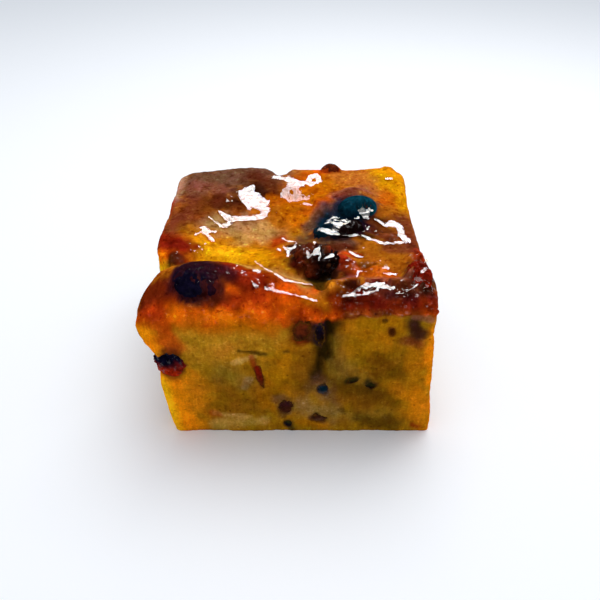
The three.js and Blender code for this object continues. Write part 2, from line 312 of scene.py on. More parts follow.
@dataclass(frozen=True)
class BlockShape:
    """The leaning block of pudding: driving dimensions in mm, and its surface as a function."""

    width: float = 66.0
    depth: float = 63.5
    height: float = 42.0
    lean: float = 3.9  # how far the crust lies to the left of the base
    corner: float = 1.3  # radius of the upright corners
    shoulder_back: float = 1.4  # radius of the crust's edge at the back
    shoulder_front: float = 3.0  # at the front right
    shoulder_crown: float = 6.8  # under the crown, at the front left
    face_reach: float = 6.0  # how deep the relief of a cut reaches into the block
    rough: float = 0.22  # waviness of the cuts

    def shoulder_radius(self, x: Array, y: Array) -> Array:
        """Radius of the crust's edge: largest under the front left crown.

        Args:
            x, y: plan coordinates in mm.

        Returns:
            Radii in mm.
        """
        near_front = 1 - smooth(y, -26, -12)
        near_crown = 1 - smooth(x, -6, 12)
        front = self.shoulder_front + (self.shoulder_crown - self.shoulder_front) * near_crown
        return self.shoulder_back + (front - self.shoulder_back) * near_front

    def crust_height(self, x: Array, y: Array) -> Array:
        """Height of the crust in mm over a place in plan.

        The general level, plus each swelling times exp(-(distance / half)^2), plus two octaves
        of noise, less the drop of a quarter circle round the edge.

        Args:
            x, y: plan coordinates in mm, as they lie on top of the leaning block.

        Returns:
            Heights in mm, in the common shape of x and y.
        """
        level = np.full(np.broadcast(x, y).shape, self.height)
        for swell in SWELLS:
            d = distance_to_line(x, y, swell.start, swell.end) / swell.half
            level = level + swell.rise * np.exp(-d * d)
        level = level + 0.6 * noise(x / 7, y / 7, 3.0) + 0.25 * noise(x / 3.6, y / 3.6, 8.0)
        r = self.shoulder_radius(x, y)
        in_x = np.clip(r - (self.width / 2 - np.abs(x + self.lean / 2)), 0, r)
        in_y = np.clip(r - (self.depth / 2 - np.abs(y)), 0, r)
        past = r - ((r - in_x) * (r - in_y)) / r
        return level - (r - np.sqrt(np.maximum(r * r - past * past, 0)))

    def face_shift(self, x: Array, y: Array, z: Array) -> tuple[Array, Array]:
        """How far the relief of the cut faces carries each point.

        Each face adds its swells, out * exp(-d^2) with d the elliptical distance from the
        swell's middle, and a little noise, and fades out over its reach into the block.

        Args:
            x, y, z: the points in mm.

        Returns:
            The shifts in x and in y, in mm.
        """
        half_w, half_d, reach = self.width / 2, self.depth / 2, self.face_reach
        near = {
            Face.LEFT: 1 - smooth(x, -half_w, -half_w + reach),
            Face.RIGHT: smooth(x, half_w - reach, half_w),
            Face.FRONT: 1 - smooth(y, -half_d, -half_d + reach),
            Face.BACK: smooth(y, half_d - reach, half_d),
        }
        rough = self.rough * noise(x / 5, y / 5, z / 7)
        out = {face: rough for face in near}
        for swell in FACE_SWELLS:
            along = y if swell.face.axis == 0 else x
            d = np.hypot((along - swell.at[0]) / swell.half[0], (z - swell.at[1]) / swell.half[1])
            out[swell.face] = out[swell.face] + swell.out * np.exp(-d * d)
        dx = near[Face.RIGHT] * out[Face.RIGHT] - near[Face.LEFT] * out[Face.LEFT]
        dy = near[Face.BACK] * out[Face.BACK] - near[Face.FRONT] * out[Face.FRONT]
        return dx, dy

    def round_corner(self, x: Array, y: Array) -> tuple[Array, Array]:
        """Moves points past a plan corner's centre both ways onto the corner's arc.

        Args:
            x, y: plan coordinates in mm.

        Returns:
            The new plan coordinates.
        """
        dx = np.abs(x) - (self.width / 2 - self.corner)
        dy = np.abs(y) - (self.depth / 2 - self.corner)
        past = (dx > 0) & (dy > 0)
        shrink = np.where(past, np.maximum(dx, dy) / np.maximum(np.hypot(dx, dy), 1e-9), 1)
        round_x = x - np.sign(x) * np.where(past, dx, 0) * (1 - shrink)
        round_y = y - np.sign(y) * np.where(past, dy, 0) * (1 - shrink)
        return round_x, round_y

    def skin(self, px: Array, py: Array, share: Array) -> Array:
        """The block's surface as a function of a place on the plan's square and a share of height.

        The point's height is the share times the crust's height there; the cut faces' relief and
        the lean then carry it sideways.

        Args:
            px, py: coordinates in mm on the plan, within the width and the depth.
            share: 0 at the base, 1 at the crust.

        Returns:
            Points in mm, in an array of n by 3.
        """
        x, y = self.round_corner(px, py)
        z = share * self.crust_height(x - self.lean / 2, y)
        dx, dy = self.face_shift(x, y, z)
        return np.stack([x + dx + self.lean * (0.5 - z / self.height), y + dy, z], -1)


SHAPE = BlockShape()


# ---- Paint: stains laid over one another ----


@dataclass(frozen=True)
class Stain:
    """A soft-edged patch of colour along a short line, in mm, in the plan or on a cut face."""

    tone: Tone
    start: Point
    end: Point
    half: float
    share: float = 1.0
    edge: float = 0.6  # softness of its edge, as a share of half
    ragged: float = 0.42  # unevenness of its edge, likewise


def lay_stains(base: Array, u: Array, v: Array, stains: tuple[Stain, ...], seed: float) -> Array:
    """Lays stains over a base colour, in order.

    A stain's weight falls smoothly from its share to 0 where the distance from its line, made
    uneven by noise, passes its half width.

    Args:
        base: linear colours, n by 3.
        u, v: the surface's coordinates in mm.
        stains: the stains, lowest first.
        seed: picks the noise.

    Returns:
        Linear colours, n by 3.
    """
    coarse = noise(u / 2.6, v / 2.6, seed) + 0.5 * noise(u / 1.1, v / 1.1, seed + 7.3)
    for stain in stains:
        d = distance_to_line(u, v, stain.start, stain.end) / stain.half + stain.ragged * coarse
        weight = stain.share * (1 - smooth(d, 1 - stain.edge, 1 + stain.edge))
        base = base + (np.array(linear(stain.tone.value)) - base) * weight[:, None]
    return base


CRUST_STAINS_AND_SHADE = (  # over the crust, in plan
    # flat slice at the back left
    Stain(Tone.TAUPE, (-27, 24), (-11, 28), 11, 0.95),
    Stain(Tone.MAHOGANY, (-29, 18), (-20, 17), 5, 0.35),
    Stain(Tone.FAWN, (-33.8, 14), (-33.4, 28), 2.0, 0.85),
    Stain(Tone.RUSSET, (-28, 21), (-22, 19), 2.6, 0.5),
    # left edge, down to the groove
    Stain(Tone.MAHOGANY, (-30, -1), (-28.5, 9), 5.5, 0.9),
    Stain(Tone.RUST, (-34.8, -6), (-34.8, 12), 1.4, 0.9),
    Stain(Tone.SIENNA, (-25, 1), (-23, 13), 3.2, 0.85),
    Stain(Tone.BRICK, (-32, -9), (-25, -7.5), 2.8, 0.9),
    Stain(Tone.TANGERINE, (-33, -10.5), (-29, -11.5), 1.6, 0.8),
    # behind the custard basin
    Stain(Tone.OXBLOOD, (-21, 13), (-17, 11.5), 3.2, 0.9),
    Stain(Tone.SIENNA, (-18, 7.5), (-14.5, 10), 2.2, 0.8),
    Stain(Tone.OXBLOOD, (-11, 25), (-6, 17.5), 3.8, 0.9),
    Stain(Tone.UMBER, (-16.5, 19), (-16, 13), 1.6, 0.7),
    Stain(Tone.UMBER, (-10.5, 19.5), (-8, 17.5), 1.2, 0.8),
    # the basin, and the groove in front of it
    Stain(Tone.HONEY, (-20, -9), (-6, -6), 8.5, 1.0),
    Stain(Tone.HONEY_GREY, (-20, 3), (-7, 2), 4.0, 0.75),
    Stain(Tone.OXBLOOD, (-19, 13), (-15, 10.5), 2.0, 0.6),
    Stain(Tone.HONEY_PALE, (-13, -2), (-5, 4.5), 3.0, 0.7),
    Stain(Tone.BUTTER, (-24, -10), (-10, -12), 4.4, 0.9),
    Stain(Tone.LEMON, (-21.5, -9.5), (-16, -11.5), 3.4, 0.75),
    Stain(Tone.BUTTER, (-9, -11), (-5, -14), 3.0, 0.8),
    Stain(Tone.RUST, (-28, -12.5), (-25, -15), 2.6, 0.9),
    Stain(Tone.BRICK, (-32, -6.5), (-26.5, -10), 3.2, 1.0),
    Stain(Tone.GARNET, (-30, -8), (-27, -8.5), 1.6, 0.7),
    Stain(Tone.FLAME, (-34, -10.5), (-31.5, -12), 1.4, 0.9),
    Stain(Tone.LEMON, (-36, -14), (-31, -14.5), 1.8, 0.95),
    # the middle, and the swelling at the back right
    Stain(Tone.MARMALADE, (-4, 6), (4, 7), 3.2, 0.9),
    Stain(Tone.MARMALADE, (-8, 9), (-6.5, 16), 1.6, 0.7),
    Stain(Tone.RUST, (-4.5, -1), (-4.2, -6), 2.2, 0.9),
    Stain(Tone.MARMALADE, (-2, -9), (-2, -14), 3.4, 0.9),
    Stain(Tone.HONEY, (-4, -15), (2, -18), 2.6, 0.8),
    Stain(Tone.MARMALADE, (3, 14), (9, 26), 7, 0.95),
    Stain(Tone.PERSIMMON, (2, 24.5), (3, 26.5), 1.6, 0.8),
    Stain(Tone.ORANGE, (8, 29), (12, 31), 2.6, 0.8),
    Stain(Tone.APRICOT, (14, 27), (22, 19), 5.0, 0.8),
    Stain(Tone.BUTTER, (26, 29), (30, 12), 4.0, 0.95),
    Stain(Tone.PERSIMMON, (26, 17), (25.5, 11), 2.4, 0.8),
    Stain(Tone.PERSIMMON, (3, 9), (10, 13), 2.0, 0.7),
    Stain(Tone.RUSSET, (12.5, 15), (20, 17), 2.6, 0.85),
    Stain(Tone.MAHOGANY, (13, 13), (16, 15.5), 1.8, 0.8),
    Stain(Tone.AMBER, (25, 7), (29, 4), 3.2, 0.8),
    # right edge, and round the round and the broad raisin
    Stain(Tone.MAHOGANY, (28.5, 2), (29.5, -13), 3.4, 0.9),
    Stain(Tone.OXBLOOD, (20.5, 1), (24, -4), 3.4, 0.95),
    Stain(Tone.AMBER, (15, -10), (25, -15), 4.4, 0.95),
    Stain(Tone.COCOA, (1.5, -3), (1.5, -11), 2.4, 0.8),
    Stain(Tone.SLATE, (5, 3), (8, 8), 2.4, 0.7),
    Stain(Tone.UMBER, (12, 0), (18, 4), 5.0, 0.85),
    Stain(Tone.SIENNA, (19, 1), (24, -4), 2.6, 0.8),
    Stain(Tone.CHAR, (15, -1), (18, -4), 2.6, 0.9),
    Stain(Tone.TEAL, (8.5, 3), (12.5, 9), 3.2, 0.95, 0.45, 0.2),
    Stain(Tone.TEAL, (9, 3), (15, 4), 3.0, 0.95, 0.5, 0.2),
    Stain(Tone.INK, (14, 2.5), (18.5, 0), 2.6, 0.85, 0.5, 0.3),
    Stain(Tone.OXBLOOD, (20, -1), (25, -5), 1.8, 0.8),
    # behind the burnt raisin, and round it
    Stain(Tone.OXBLOOD, (10, -11), (15, -12), 1.5, 0.85),
    Stain(Tone.RUST, (12, -11.5), (16, -12.5), 0.9, 0.8),
    Stain(Tone.MAHOGANY, (24, -9.5), (29, -10.5), 2.2, 0.8),
    Stain(Tone.COCOA, (8, -7), (14, -8), 2.6, 0.9),
    Stain(Tone.OXBLOOD, (9, -8.5), (14, -9.5), 1.3, 0.9),
    Stain(Tone.UMBER, (3, -13), (8, -18), 5.2, 0.95, 0.3),
    Stain(Tone.GARNET, (1.5, -17), (3, -19), 2.0, 0.8),
    Stain(Tone.BRICK, (10.5, -16), (14.5, -18), 2.2, 0.85),
    Stain(Tone.PERSIMMON, (16, -18.5), (22, -19.5), 1.8, 0.8),
    # slope behind the crown, and painted shade in the crevice at the top of the seam and at the end of the
    # groove behind it
    Stain(Tone.HONEY_PALE, (-15, -16.5), (2, -22), 2.4, 0.8),
    Stain(Tone.CREAM, (1, -26), (4.5, -28), 2.0, 0.8),
    Stain(Tone.SEAM, (4, -20.5), (7, -21), 2.0, 0.95, 0.5),
    Stain(Tone.PEAT, (6, -24), (8, -27), 2.6, 0.95),
    # front right ridge, and the lumps on the right edge
    Stain(Tone.RUSSET, (11, -23), (26, -23.5), 1.8, 0.8),
    Stain(Tone.AMBER, (8, -27), (12, -28), 2.6, 0.8),
    Stain(Tone.GARNET, (14, -28), (30, -28), 3.4, 0.95),
    Stain(Tone.PLUM, (20, -27), (28, -28), 2.4, 0.7),
    Stain(Tone.UMBER, (12, -27), (22, -28), 1.6, 0.7),
    Stain(Tone.OXBLOOD, (24, -28), (30, -24), 3.0, 0.9),
    Stain(Tone.BRICK, (29.5, -22), (30.5, -13), 2.4, 0.95),
    # crown and front left
    Stain(Tone.RUST, (-15, -23), (-4, -25.5), 3.2, 0.9),
    Stain(Tone.TANGERINE, (-15, -29), (2, -29), 3.2, 0.9),
    Stain(Tone.GARNET, (-11, -27), (-7, -27.5), 2.0, 0.85),
    Stain(Tone.GARNET, (-33, -26), (-28, -27), 3.6, 0.9),
    Stain(Tone.BRICK, (-15, -24), (-8, -25.5), 2.8, 0.9),
    Stain(Tone.INK, (-23, -25.5), (-20.5, -27), 4.2, 0.95, 0.35, 0.3),
    Stain(Tone.SIENNA, (-23, -20.8), (-17, -21.2), 1.3, 0.8),
    Stain(Tone.PLUM, (-18, -24), (-15, -25), 2.2, 0.85),
    Stain(Tone.OXBLOOD, (-29, -13), (-27.5, -13.5), 2.2, 0.95),
)

LIP_STAINS = (  # over the crust's front edge, across and up
    # left of the seam
    Stain(Tone.RUST, (-35, 42), (-5, 43), 3.4, 0.95),
    Stain(Tone.TANGERINE, (-31, 39), (-4, 38.6), 1.9, 0.95),
    Stain(Tone.FLAME, (-23, 38.2), (-7, 38.2), 1.2, 0.7),
    Stain(Tone.RUST, (-35, 38), (-30, 39.5), 2.2, 0.8),
    Stain(Tone.BRICK, (-10, 46), (-8, 44.5), 2.2, 0.9),
    Stain(Tone.BRICK, (-15, 41.5), (-13, 41), 1.4, 0.7),
    Stain(Tone.TANGERINE, (-3, 43), (1, 41.2), 2.4, 0.9),
    # round the seam, and right of it
    Stain(Tone.HONEY_PALE, (1, 45.5), (6, 43.8), 1.8, 0.8),
    Stain(Tone.HONEY, (3, 42), (7, 41.5), 1.8, 0.8),
    Stain(Tone.RUST, (8.5, 42), (11, 40.5), 1.6, 0.85),
    Stain(Tone.GARNET, (14, 43.5), (20, 43.5), 2.8, 0.95),
    Stain(Tone.OXBLOOD, (20, 43.5), (31, 43.5), 2.8, 0.95),
    Stain(Tone.GARNET, (12, 40.6), (31, 41), 1.6, 0.85),
    Stain(Tone.PLUM, (21, 43.5), (30, 43), 1.6, 0.6),
    Stain(Tone.SIENNA, (12, 38.6), (28, 38.3), 1.2, 0.9),
    # under the crown
    Stain(Tone.INK, (-24, 45), (-21.5, 44.2), 3.0, 0.9, 0.5, 0.45),
    Stain(Tone.OXBLOOD, (-19, 44), (-16.5, 42.6), 1.8, 0.7),
    Stain(Tone.FLAME, (-27, 39), (-18, 38.8), 1.7, 0.9),
    Stain(Tone.RUST, (-33, 43), (-28, 42), 2.2, 0.6),
    Stain(Tone.RUST, (-36, 38.4), (-29.5, 38.6), 1.8, 0.9),
    Stain(Tone.OXBLOOD, (-18.5, 42), (-17.5, 41), 1.0, 0.8),
)

FRONT_STAINS_SHADE_AND_GLOW = (  # over the front cut, across and up
    # left of the seam
    Stain(Tone.GOLD, (-24, 34), (-5, 33.5), 5.0, 0.45),
    Stain(Tone.MARMALADE, (-29, 36.6), (-5, 36.6), 2.6, 1.0, 0.9),
    Stain(Tone.GOLD, (-22, 26.5), (-11, 29), 4.2, 0.45),
    Stain(Tone.ORANGE_CRUMB, (-27, 19), (-23, 9), 4.4, 0.8),
    Stain(Tone.YOLK, (-28, 6), (-25, 2), 2.4, 0.5),
    Stain(Tone.BROWN, (-19, 8), (-9, 9.5), 3.6, 0.7),
    Stain(Tone.OLIVE, (-17, 21), (-12, 18), 3.2, 0.6),
    Stain(Tone.BROWN, (-18, 17), (-16, 14), 2.0, 0.5),
    Stain(Tone.CREAM, (-20, 2.6), (-8, 3.8), 1.6, 0.55),
    Stain(Tone.CREAM, (-20, 6.6), (-11, 5.2), 0.7, 0.5),
    Stain(Tone.OCHRE, (-5, 13), (0, 26), 4.4, 0.7),
    Stain(Tone.BROWN, (2.5, 27), (2, 16), 3.0, 0.75),
    # right of the seam, and low in the middle
    Stain(Tone.OLIVE, (9.6, 12), (9.8, 31), 2.6, 0.8),
    Stain(Tone.OLIVE, (13, 22), (18, 16), 3.0, 0.5),
    Stain(Tone.OLIVE, (12, 5), (22, 7), 2.6, 0.5),
    Stain(Tone.OCHRE, (14, 36.5), (22, 35), 3.4, 0.6),
    Stain(Tone.OCHRE, (13, 30), (20, 29), 3.4, 0.5),
    Stain(Tone.EARTH, (20, 24.5), (24, 20.5), 4.0, 0.8),
    Stain(Tone.EARTH, (14, 14), (24, 14), 4.4, 0.85),
    Stain(Tone.PEAT, (12, 19), (20, 13), 2.6, 0.5, 0.9),
    Stain(Tone.EARTH, (8, 20), (11, 14), 3.0, 0.6, 0.9),
    Stain(Tone.EARTH, (-14, 12), (-6, 15), 3.4, 0.4, 0.9),
    Stain(Tone.DRAB, (2, 9), (9, 7.5), 3.4, 0.7),
    Stain(Tone.BROWN, (12, 11), (24, 9.5), 3.0, 0.5),
    Stain(Tone.PEAT, (18, 4), (25, 3), 2.6, 0.75),
    Stain(Tone.PEAT, (11.8, 8), (12.4, 7.6), 0.9, 0.6),
    Stain(Tone.OCHRE, (2, 3), (7, 2.6), 1.6, 0.6),
    # right edge; the yellow and orange strips at its very rim are a painted glow of light shining through
    # the thin edge
    Stain(Tone.OCHRE, (28.5, 30), (29.5, 8), 2.4, 0.6),
    Stain(Tone.YOLK, (32.4, 36), (32.4, 18), 1.5, 0.85, 0.9),
    Stain(Tone.YOLK, (30.4, 14), (31.4, 9), 2.2, 0.6, 0.9),
    Stain(Tone.ORANGE_CRUMB, (32, 12), (33.4, 1), 2.4, 0.85, 0.9),
    Stain(Tone.BRICK, (30.6, 2), (31.6, 1.6), 0.9, 0.75),
    Stain(Tone.ORANGE_CRUMB, (24, 17), (29, 12), 2.6, 0.5),
    Stain(Tone.UMBER, (26.6, 37), (27.4, 32), 1.7, 0.85),
    Stain(Tone.SIENNA, (25, 31.5), (28.5, 30.5), 1.4, 0.7),
    Stain(Tone.RUSSET, (27, 38.6), (30.5, 37.6), 1.1, 0.7),
    # the red cut raisin under the crust
    Stain(Tone.GARNET, (1.4, 36.8), (2.0, 32.6), 2.7, 0.9),
    Stain(Tone.UMBER, (3.2, 35.5), (3.6, 32.5), 1.4, 0.8),
    Stain(Tone.ORANGE, (-1.6, 36.4), (0.4, 37.8), 0.9, 0.6),
    Stain(Tone.OXBLOOD, (-2.6, 37.9), (-0.6, 37.6), 0.9, 0.85),
    # left edge: the yellow strips along it are a painted glow of light shining through its thin rim
    Stain(Tone.YOLK, (-28.8, 1), (-30, 19), 2.8, 0.85, 0.9, 0.25),
    Stain(Tone.LEMON, (-31.2, 0), (-32.4, 18), 2.0, 1.0, 0.9, 0.2),
    Stain(Tone.YOLK, (-33.4, 29), (-34.6, 37), 3.4, 0.95, 0.9, 0.25),
    Stain(Tone.PERSIMMON, (-29, 36.6), (-34, 37.4), 2.0, 0.85, 0.9),
    Stain(Tone.PERSIMMON, (-30, 36), (-28, 29), 2.4, 0.85),
    Stain(Tone.OXBLOOD, (-28.8, 21), (-28.2, 27), 2.2, 0.75),
    # the seam: painted shade in its groove and along it, and the juice in it
    Stain(Tone.PEAT, (8, 37), (5, 18), 2.6, 0.85, 0.9),
    Stain(Tone.SEAM, (7.8, 38), (6.8, 27), 1.5, 0.95, 0.7),
    Stain(Tone.INK, (5.6, 36.5), (5.9, 31), 1.2, 0.8, 0.8),
    Stain(Tone.SEAM, (6.4, 29), (5.2, 19), 1.3, 0.85, 0.9),
    Stain(Tone.TAUPE, (6, 17.5), (7.6, 12.5), 2.4, 0.5, 0.8),
    Stain(Tone.TEAL, (6.6, 15.6), (7.4, 14.4), 1.3, 0.8, 0.8),
    Stain(Tone.COCOA, (-3.4, 11.5), (-1.6, 8), 1.7, 0.7, 0.6),
    Stain(Tone.UMBER, (-2.4, 8), (-3, 5.8), 1.2, 0.6, 0.6),
    # juice of the small cut raisins
    Stain(Tone.MOSS, (13, 18.4), (15, 19.4), 0.9, 0.9),
    Stain(Tone.MOSS, (17.6, 18.6), (19, 16.8), 1.2, 0.9),
    Stain(Tone.UMBER, (4.6, 4.8), (7.2, 4.2), 1.1, 0.7, 0.6),
    Stain(Tone.MOSS, (-2, 3), (-1, 1), 1.1, 0.8),
    Stain(Tone.RUST, (-20.6, 6.6), (-19.2, 6.2), 0.9, 0.5),
    # crack, crumbs and small brown spots, with painted shade in the crack and in the two air holes
    Stain(Tone.CREAM, (-14, 24.4), (-9.4, 26.6), 0.7, 0.75),
    Stain(Tone.BRICK, (-9.9, 26.6), (-9, 22), 0.8, 0.75),
    Stain(Tone.DRAB, (-11.8, 16), (-10.8, 19), 0.9, 0.8),
    # painted shade in the flat crack
    Stain(Tone.PEAT, (-12.6, 28.2), (-6.4, 27.3), 0.45, 0.85),
    Stain(Tone.UMBER, (27, 36), (28.5, 33), 1.6, 0.9),
    Stain(Tone.OXBLOOD, (-19.6, 36.4), (-18.2, 36.6), 0.55, 0.9),
    Stain(Tone.OXBLOOD, (-12, 36.2), (-11.6, 36.2), 0.4, 0.8),
    Stain(Tone.OXBLOOD, (-6.8, 37.4), (-5.8, 37.5), 0.5, 0.85),
    Stain(Tone.PEAT, (-2, 27.9), (-1.4, 28), 0.6, 0.7),
    # painted shade in the two air holes
    Stain(Tone.UMBER, (20, 37.4), (20.2, 37.4), 0.5, 0.8),
    Stain(Tone.OXBLOOD, (22, 34.6), (22.3, 33.4), 0.8, 0.9),
)

SIDE_STAINS_AND_GLOW = (  # over the other cuts
    Stain(Tone.GOLD, (-20, 33), (4, 33), 5.0, 0.7),
    Stain(Tone.LEMON, (-20, 40), (-12, 39), 3.4, 0.95),
    Stain(Tone.OCHRE, (-22, 18), (-16, 8), 6.0, 0.8),
    Stain(Tone.OLIVE, (-4, 8), (-2, 28), 5.0, 0.5),
    Stain(Tone.BROWN, (2, 12), (10, 9), 5.0, 0.6),
    Stain(Tone.EARTH, (14, 26), (20, 20), 5.0, 0.7),
    Stain(Tone.BROWN, (20, 10), (26, 30), 4.0, 0.5),
    Stain(Tone.CREAM, (-14, 3), (6, 4), 2.4, 0.6),
    Stain(Tone.CREAM, (3, 21), (7, 23), 1.0, 0.6),
    Stain(Tone.DRAB, (-9, 14), (-6, 18), 1.6, 0.6),
    # the yellow and orange strips at the block's upright corners: a painted glow of light shining through
    # the thin corners
    Stain(Tone.YOLK, (-32.4, 2), (-32, 20), 2.8, 0.6, 0.9, 0.6),
    Stain(Tone.ORANGE_CRUMB, (-31, 24), (-32, 36), 3.2, 0.6, 0.9, 0.6),
    Stain(Tone.ORANGE_CRUMB, (31.4, 4), (32.4, 34), 3.0, 0.6, 0.9, 0.6),
    Stain(Tone.OXBLOOD, (13, 35.4), (13.6, 35.6), 0.45, 0.8),
)
BACK_STAINS_AND_GLOW = SIDE_STAINS_AND_GLOW[::-1]


# ---- Meshes and nodes ----


def put_attribute(mesh: bpy.types.Mesh, name: str, values: Array) -> None:
    """Keeps a number or a colour per vertex on a mesh.

    Args:
        mesh: the mesh.
        name: the attribute's name.
        values: n numbers, or n linear colours in an array of n by 3.
    """
    colour = values.ndim == 2
    if colour:
        values = np.column_stack([np.clip(values, 0, 1), np.ones(len(values))])
    layer = mesh.attributes.new(name, "FLOAT_COLOR" if colour else "FLOAT", "POINT")
    layer.data.foreach_set("color" if colour else "value", values.astype(np.float32).ravel())


def make_piece(
    name: str, points: Array, faces: Array | list, material: bpy.types.Material, **attributes: Array
) -> bpy.types.Object:
    """Makes a smooth mesh object at the origin.

    Args:
        name: the piece's name.
        points: places in mm, n by 3.
        faces: vertex numbers, an array of m by 4 or a list of lists.
        material: the finish.
        **attributes: values or colours per vertex, kept under their names.

    Returns:
        The object, linked to the scene and riding on the root body.
    """
    mesh = bpy.data.meshes.new(name)
    mesh.from_pydata(points * MM, [], faces.tolist() if isinstance(faces, np.ndarray) else faces)
    mesh.shade_smooth()
    for key, values in attributes.items():
        put_attribute(mesh, key, values)
    mesh.materials.append(material)
    piece = bpy.data.objects.new(name, mesh)
    bpy.context.scene.collection.objects.link(piece)
    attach(piece, ROOT)
    return piece


def add_node(tree: bpy.types.NodeTree, kind: str, settings: dict | None = None, **links) -> bpy.types.Node:
    """Adds a shader node.

    Args:
        tree: the material's node tree.
        kind: the node's type name without its "ShaderNode".
        settings: values by property name, input name or input number.
        **links: what feeds an input: the input's name with underscores for spaces, or "n" and
            its number, and a socket, or a node for that node's first output.

    Returns:
        The node.
    """
    node = tree.nodes.new("ShaderNode" + kind)
    for key, value in (settings or {}).items():
        if isinstance(key, str) and hasattr(node, key):
            setattr(node, key, value)
        else:
            node.inputs[key].default_value = value
    for key, source in links.items():
        target = int(key[1:]) if key[1:].isdigit() else key.replace("_", " ")
        socket = source.outputs[0] if isinstance(source, bpy.types.Node) else source
        tree.links.new(node.inputs[target], socket)
    return node


def new_material(name: str) -> tuple[bpy.types.Material, bpy.types.NodeTree]:
    """Makes a material with an empty node tree.

    Args:
        name: the material's name.

    Returns:
        The material and its tree.
    """
    material = bpy.data.materials.new(name)
    material.use_nodes = True
    material.node_tree.nodes.clear()
    return material, material.node_tree


def toned(
    tree: bpy.types.NodeTree,
    colour: bpy.types.NodeSocket,
    share: bpy.types.Node,
    dark: Triple,
    light: Triple,
    span: Point,
) -> bpy.types.NodeSocket:
    """Multiplies a colour by one tone where a noise is low and by another where it's high.

    Args:
        tree: the node tree.
        colour: the colour to vary.
        share: the noise's node.
        dark, light: the two multipliers.
        span: the noise's values at which each is reached.

    Returns:
        The varied colour.
    """
    ramp = add_node(tree, "MapRange", {1: span[0], 2: span[1]}, Value=share)
    ends = {"data_type": "RGBA", 6: (*dark, 1), 7: (*light, 1)}
    factor = add_node(tree, "Mix", ends, n0=ramp).outputs[2]
    return add_node(tree, "VectorMath", {"operation": "MULTIPLY"}, n0=colour, n1=factor).outputs[0]


# ---- Finishes ----


@dataclass(frozen=True)
class Pattern:
    """A cloudy pattern on a surface: the size of its features, and how many finer ones it holds."""

    size_mm: float
    detail: float  # how many times its features are halved

    @property
    def settings(self) -> dict[str, float]:
        """What a noise texture is set to for it."""
        return {"Scale": 1 / (self.size_mm * MM), "Detail": self.detail, "Roughness": 0.6}


